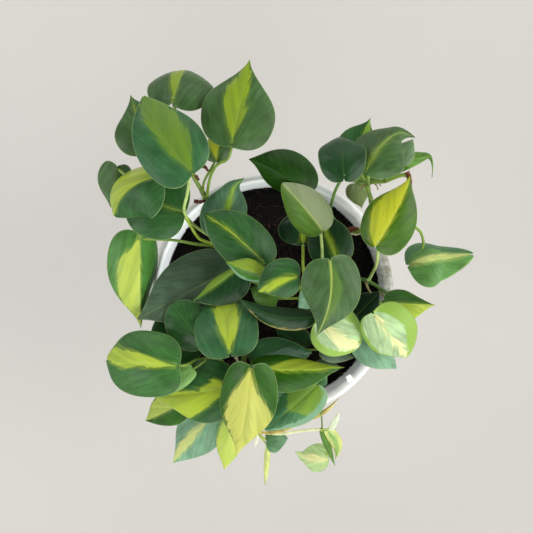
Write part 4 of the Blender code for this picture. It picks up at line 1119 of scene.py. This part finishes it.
def make_fibres(finish):
    """Reddish peat fibres and root hairs that lie on the soil, each a short bent thread."""
    places = soil_places(FIBRES, inner_radius(POT_HEIGHT - SOIL_BELOW_RIM) - 9.0)
    sheets = []
    for place in places:
        heading = DRAWS.uniform(0.0, 2.0 * math.pi)
        turn = heading + np.cumsum(DRAWS.normal(0.0, 0.35, 7))
        steps = DRAWS.uniform(0.5, 1.3) * np.stack([np.cos(turn), np.sin(turn), np.zeros(7)], axis=1)
        path = place + np.cumsum(steps, axis=0)
        level = np.full(7, POT_HEIGHT - SOIL_BELOW_RIM)
        path[:, 2] = level + soil_relief(path[:, 0], path[:, 1], level) + DRAWS.uniform(0.1, 0.9, 7)
        tint = linear(("#4a2e1e", "#65432f", "#33231a")[DRAWS.integers(3)])
        sheets.append(tube(path, DRAWS.uniform(0.08, 0.19), 4, tint=np.array(tint)))
    return piece("soil_fibres", sheets, finish, "soil")


def make_stems(leaf_finish, skin):
    """Every leafy stem: its blades in one piece, its vine and leaf stalks in another."""
    number = 0
    for name, stem in STEMS.items():
        points = vine_points(stem)
        nodes = [points[1]] + points[3:]
        plain = name.replace("stem_", "")
        tint = VINE_TINTS.get(name, "stalk")
        end_radius = VINE_RADIUS * stem.get("taper", 1.0)
        woody = [vine_sheet(points, nodes[1:], (VINE_RADIUS, end_radius), tint)]
        side_points = []
        if "branch" in stem:
            start, side = stem["branch"]
            side_points = [nodes[start]] + [placed(point) for point in side]
            ends = (end_radius * BRANCH_TAPER, end_radius * BRANCH_TAPER)
            woody.append(vine_sheet(side_points, side_points[-1:], ends, "butter"))
        blades = []
        for leaf_name, blade in stem["leaves"].items():
            number += 1
            colours = LOOKS[leaf_name]
            node = nodes[blade["at"]]
            if blade["at"] < 0 and side_points:
                node = side_points[blade["at"]]
            blades.append(blade_sheet(blade, colours, number))
            woody.append(stalk_sheet(blade, colours, node))
        piece("blades_" + plain, blades, leaf_finish, "foliage", name)
        piece("vine_" + plain, woody, skin, "foliage", name)


VINE_TINTS = {"stem_trailing": "straw_stalk", "stem_right": "dark_stalk"}

# dry bits on the stems: picture places with heights, radius at the root and at the end, and tint
DRY_BITS = (
    (((349, 231, 1), (354, 229, 6), (361, 230, 11)), 2.5, 1.2, "#70341f"),
    (((351, 233, 3), (357, 234, 8), (362, 233, 12)), 1.3, 0.5, "#d8cfae"),
    (((407, 172, 37), (410, 179, 37), (411, 190, 33)), 1.9, 0.8, "#7c3d24"),
    (((409, 184, 37), (410, 189, 35)), 1.2, 0.6, "#d9d2ba"),
    (((366, 183, 34), (362, 188, 30), (361, 191, 26)), 0.7, 0.3, "#8a7a4c"),
    (((373, 182, 35), (377, 186, 32), (378, 190, 28)), 0.7, 0.3, "#8a7a4c"),
    (((377, 181, 35), (381, 186, 31)), 0.6, 0.3, "#7a5a38"),
    (((366, 282, 6), (368, 288, 3), (371, 293, 0)), 1.1, 0.5, "#a39c66"),
    (((379, 291, 11), (384, 296, 13), (388, 296, 14)), 1.0, 0.5, "#8d8a4e"),
    (((194, 201, 18), (200, 202, 18), (206, 200, 19)), 1.7, 0.9, "#5e2b1c"),
    (((200, 166, 35), (205, 167, 38), (208, 171, 37)), 1.6, 0.8, "#5a2a1a"),
    (((196, 176, 28), (199, 180, 26)), 1.3, 0.7, "#6b4229"),
    (((236, 357, -4), (238, 361, -3)), 1.3, 0.8, "#efe6c4"),
)


def make_dry_bits(finish):
    """Bud sheaths, corky roots and scars along the stems."""
    sheets = []
    for places, start, end, tint in DRY_BITS:
        path = smooth_path([placed(place) for place in places], 6)
        radii = np.linspace(start, end, len(path)) * (1.0 + 0.12 * DRAWS.normal(size=len(path)))
        sheets.append(tube(path, radii, 8, tint=np.array(linear(tint))))
    return piece("sheaths_and_roots", sheets, finish, "foliage")


def make_stage():
    """The plain pale floor that the pot stands on."""
    reach = 12.0
    mesh = bpy.data.meshes.new("floor")
    corners = [(-reach, -reach, 0.0), (reach, -reach, 0.0), (reach, reach, 0.0), (-reach, reach, 0.0)]
    mesh.from_pydata(corners, [], [(0, 1, 2, 3)])
    mesh.materials.append(backdrop_finish())
    floor = bpy.data.objects.new("floor", mesh)
    bpy.context.scene.collection.objects.link(floor)


def area_light(name, place, target, size, power, colour):
    """A square soft light at a place, in metres, turned to a target."""
    lamp = bpy.data.lights.new(name, "AREA")
    lamp.size = size
    lamp.energy = power
    lamp.color = linear(colour)[:3]
    thing = bpy.data.objects.new(name, lamp)
    bpy.context.scene.collection.objects.link(thing)
    away = Vector(place) - Vector(target)
    thing.location = place
    thing.rotation_euler = away.to_track_quat("Z", "Y").to_euler()


def make_light():
    """Soft daylight: a pale room, darker overhead, and one large window from the upper left."""
    world = bpy.data.worlds.new("pale_sky")
    world.use_nodes = True
    tree = world.node_tree
    sky = tree.nodes["Background"]
    sky.inputs["Color"].default_value = linear("#fdfdff")
    heading = add(tree, "TexCoord", out="Generated")
    height = add(tree, "SeparateXYZ", {0: heading}, "Z")
    bright = add(tree, "MapRange", {"Value": height, "From Max": 0.85, "To Min": 1.3, "To Max": 0.1})
    tree.links.new(bright, sky.inputs["Strength"])
    bpy.context.scene.world = world
    area_light("window", (-1.5, 1.6, 1.9), (0.0, 0.0, 0.15), 0.45, 7.0, "#ffffff")
    area_light("west_window", (-2.1, -1.0, 1.9), (0.0, 0.0, 0.15), 1.0, 15.0, "#fbfdff")
    area_light("north_panel", (0.5, 2.3, 1.8), (0.0, 0.0, 0.15), 2.2, 16.0, "#fffdf8")
    area_light("east_panel", (2.3, -0.4, 1.7), (0.0, 0.0, 0.15), 2.0, 48.0, "#fffdf8")
    area_light("south_panel", (0.4, -2.3, 1.7), (0.0, 0.0, 0.15), 2.0, 36.0, "#fffdf8")
    bpy.context.scene.view_settings.view_transform = "Standard"


def make_camera():
    """The camera looks straight down from over the picture's middle."""
    lens = bpy.data.cameras.new("camera")
    lens.sensor_width = 36.0
    lens.lens = lens.sensor_width * EYE_HEIGHT / (PICTURE * UNIT)
    camera = bpy.data.objects.new("camera", lens)
    camera.location = placed((*EYE_AT, EYE_HEIGHT)) * MM
    bpy.context.scene.collection.objects.link(camera)
    bpy.context.scene.camera = camera


def main():
    """Dress the part, and light and frame it."""
    make_camera()
    make_pot(white_glaze())
    earth = potting_soil()
    make_soil(earth)
    make_crumbs(earth)
    papery = dry_sheath()
    make_fibres(papery)
    make_dry_bits(papery)
    make_stems(living_leaf(), stem_skin())
    make_stage()
    make_light()


main()
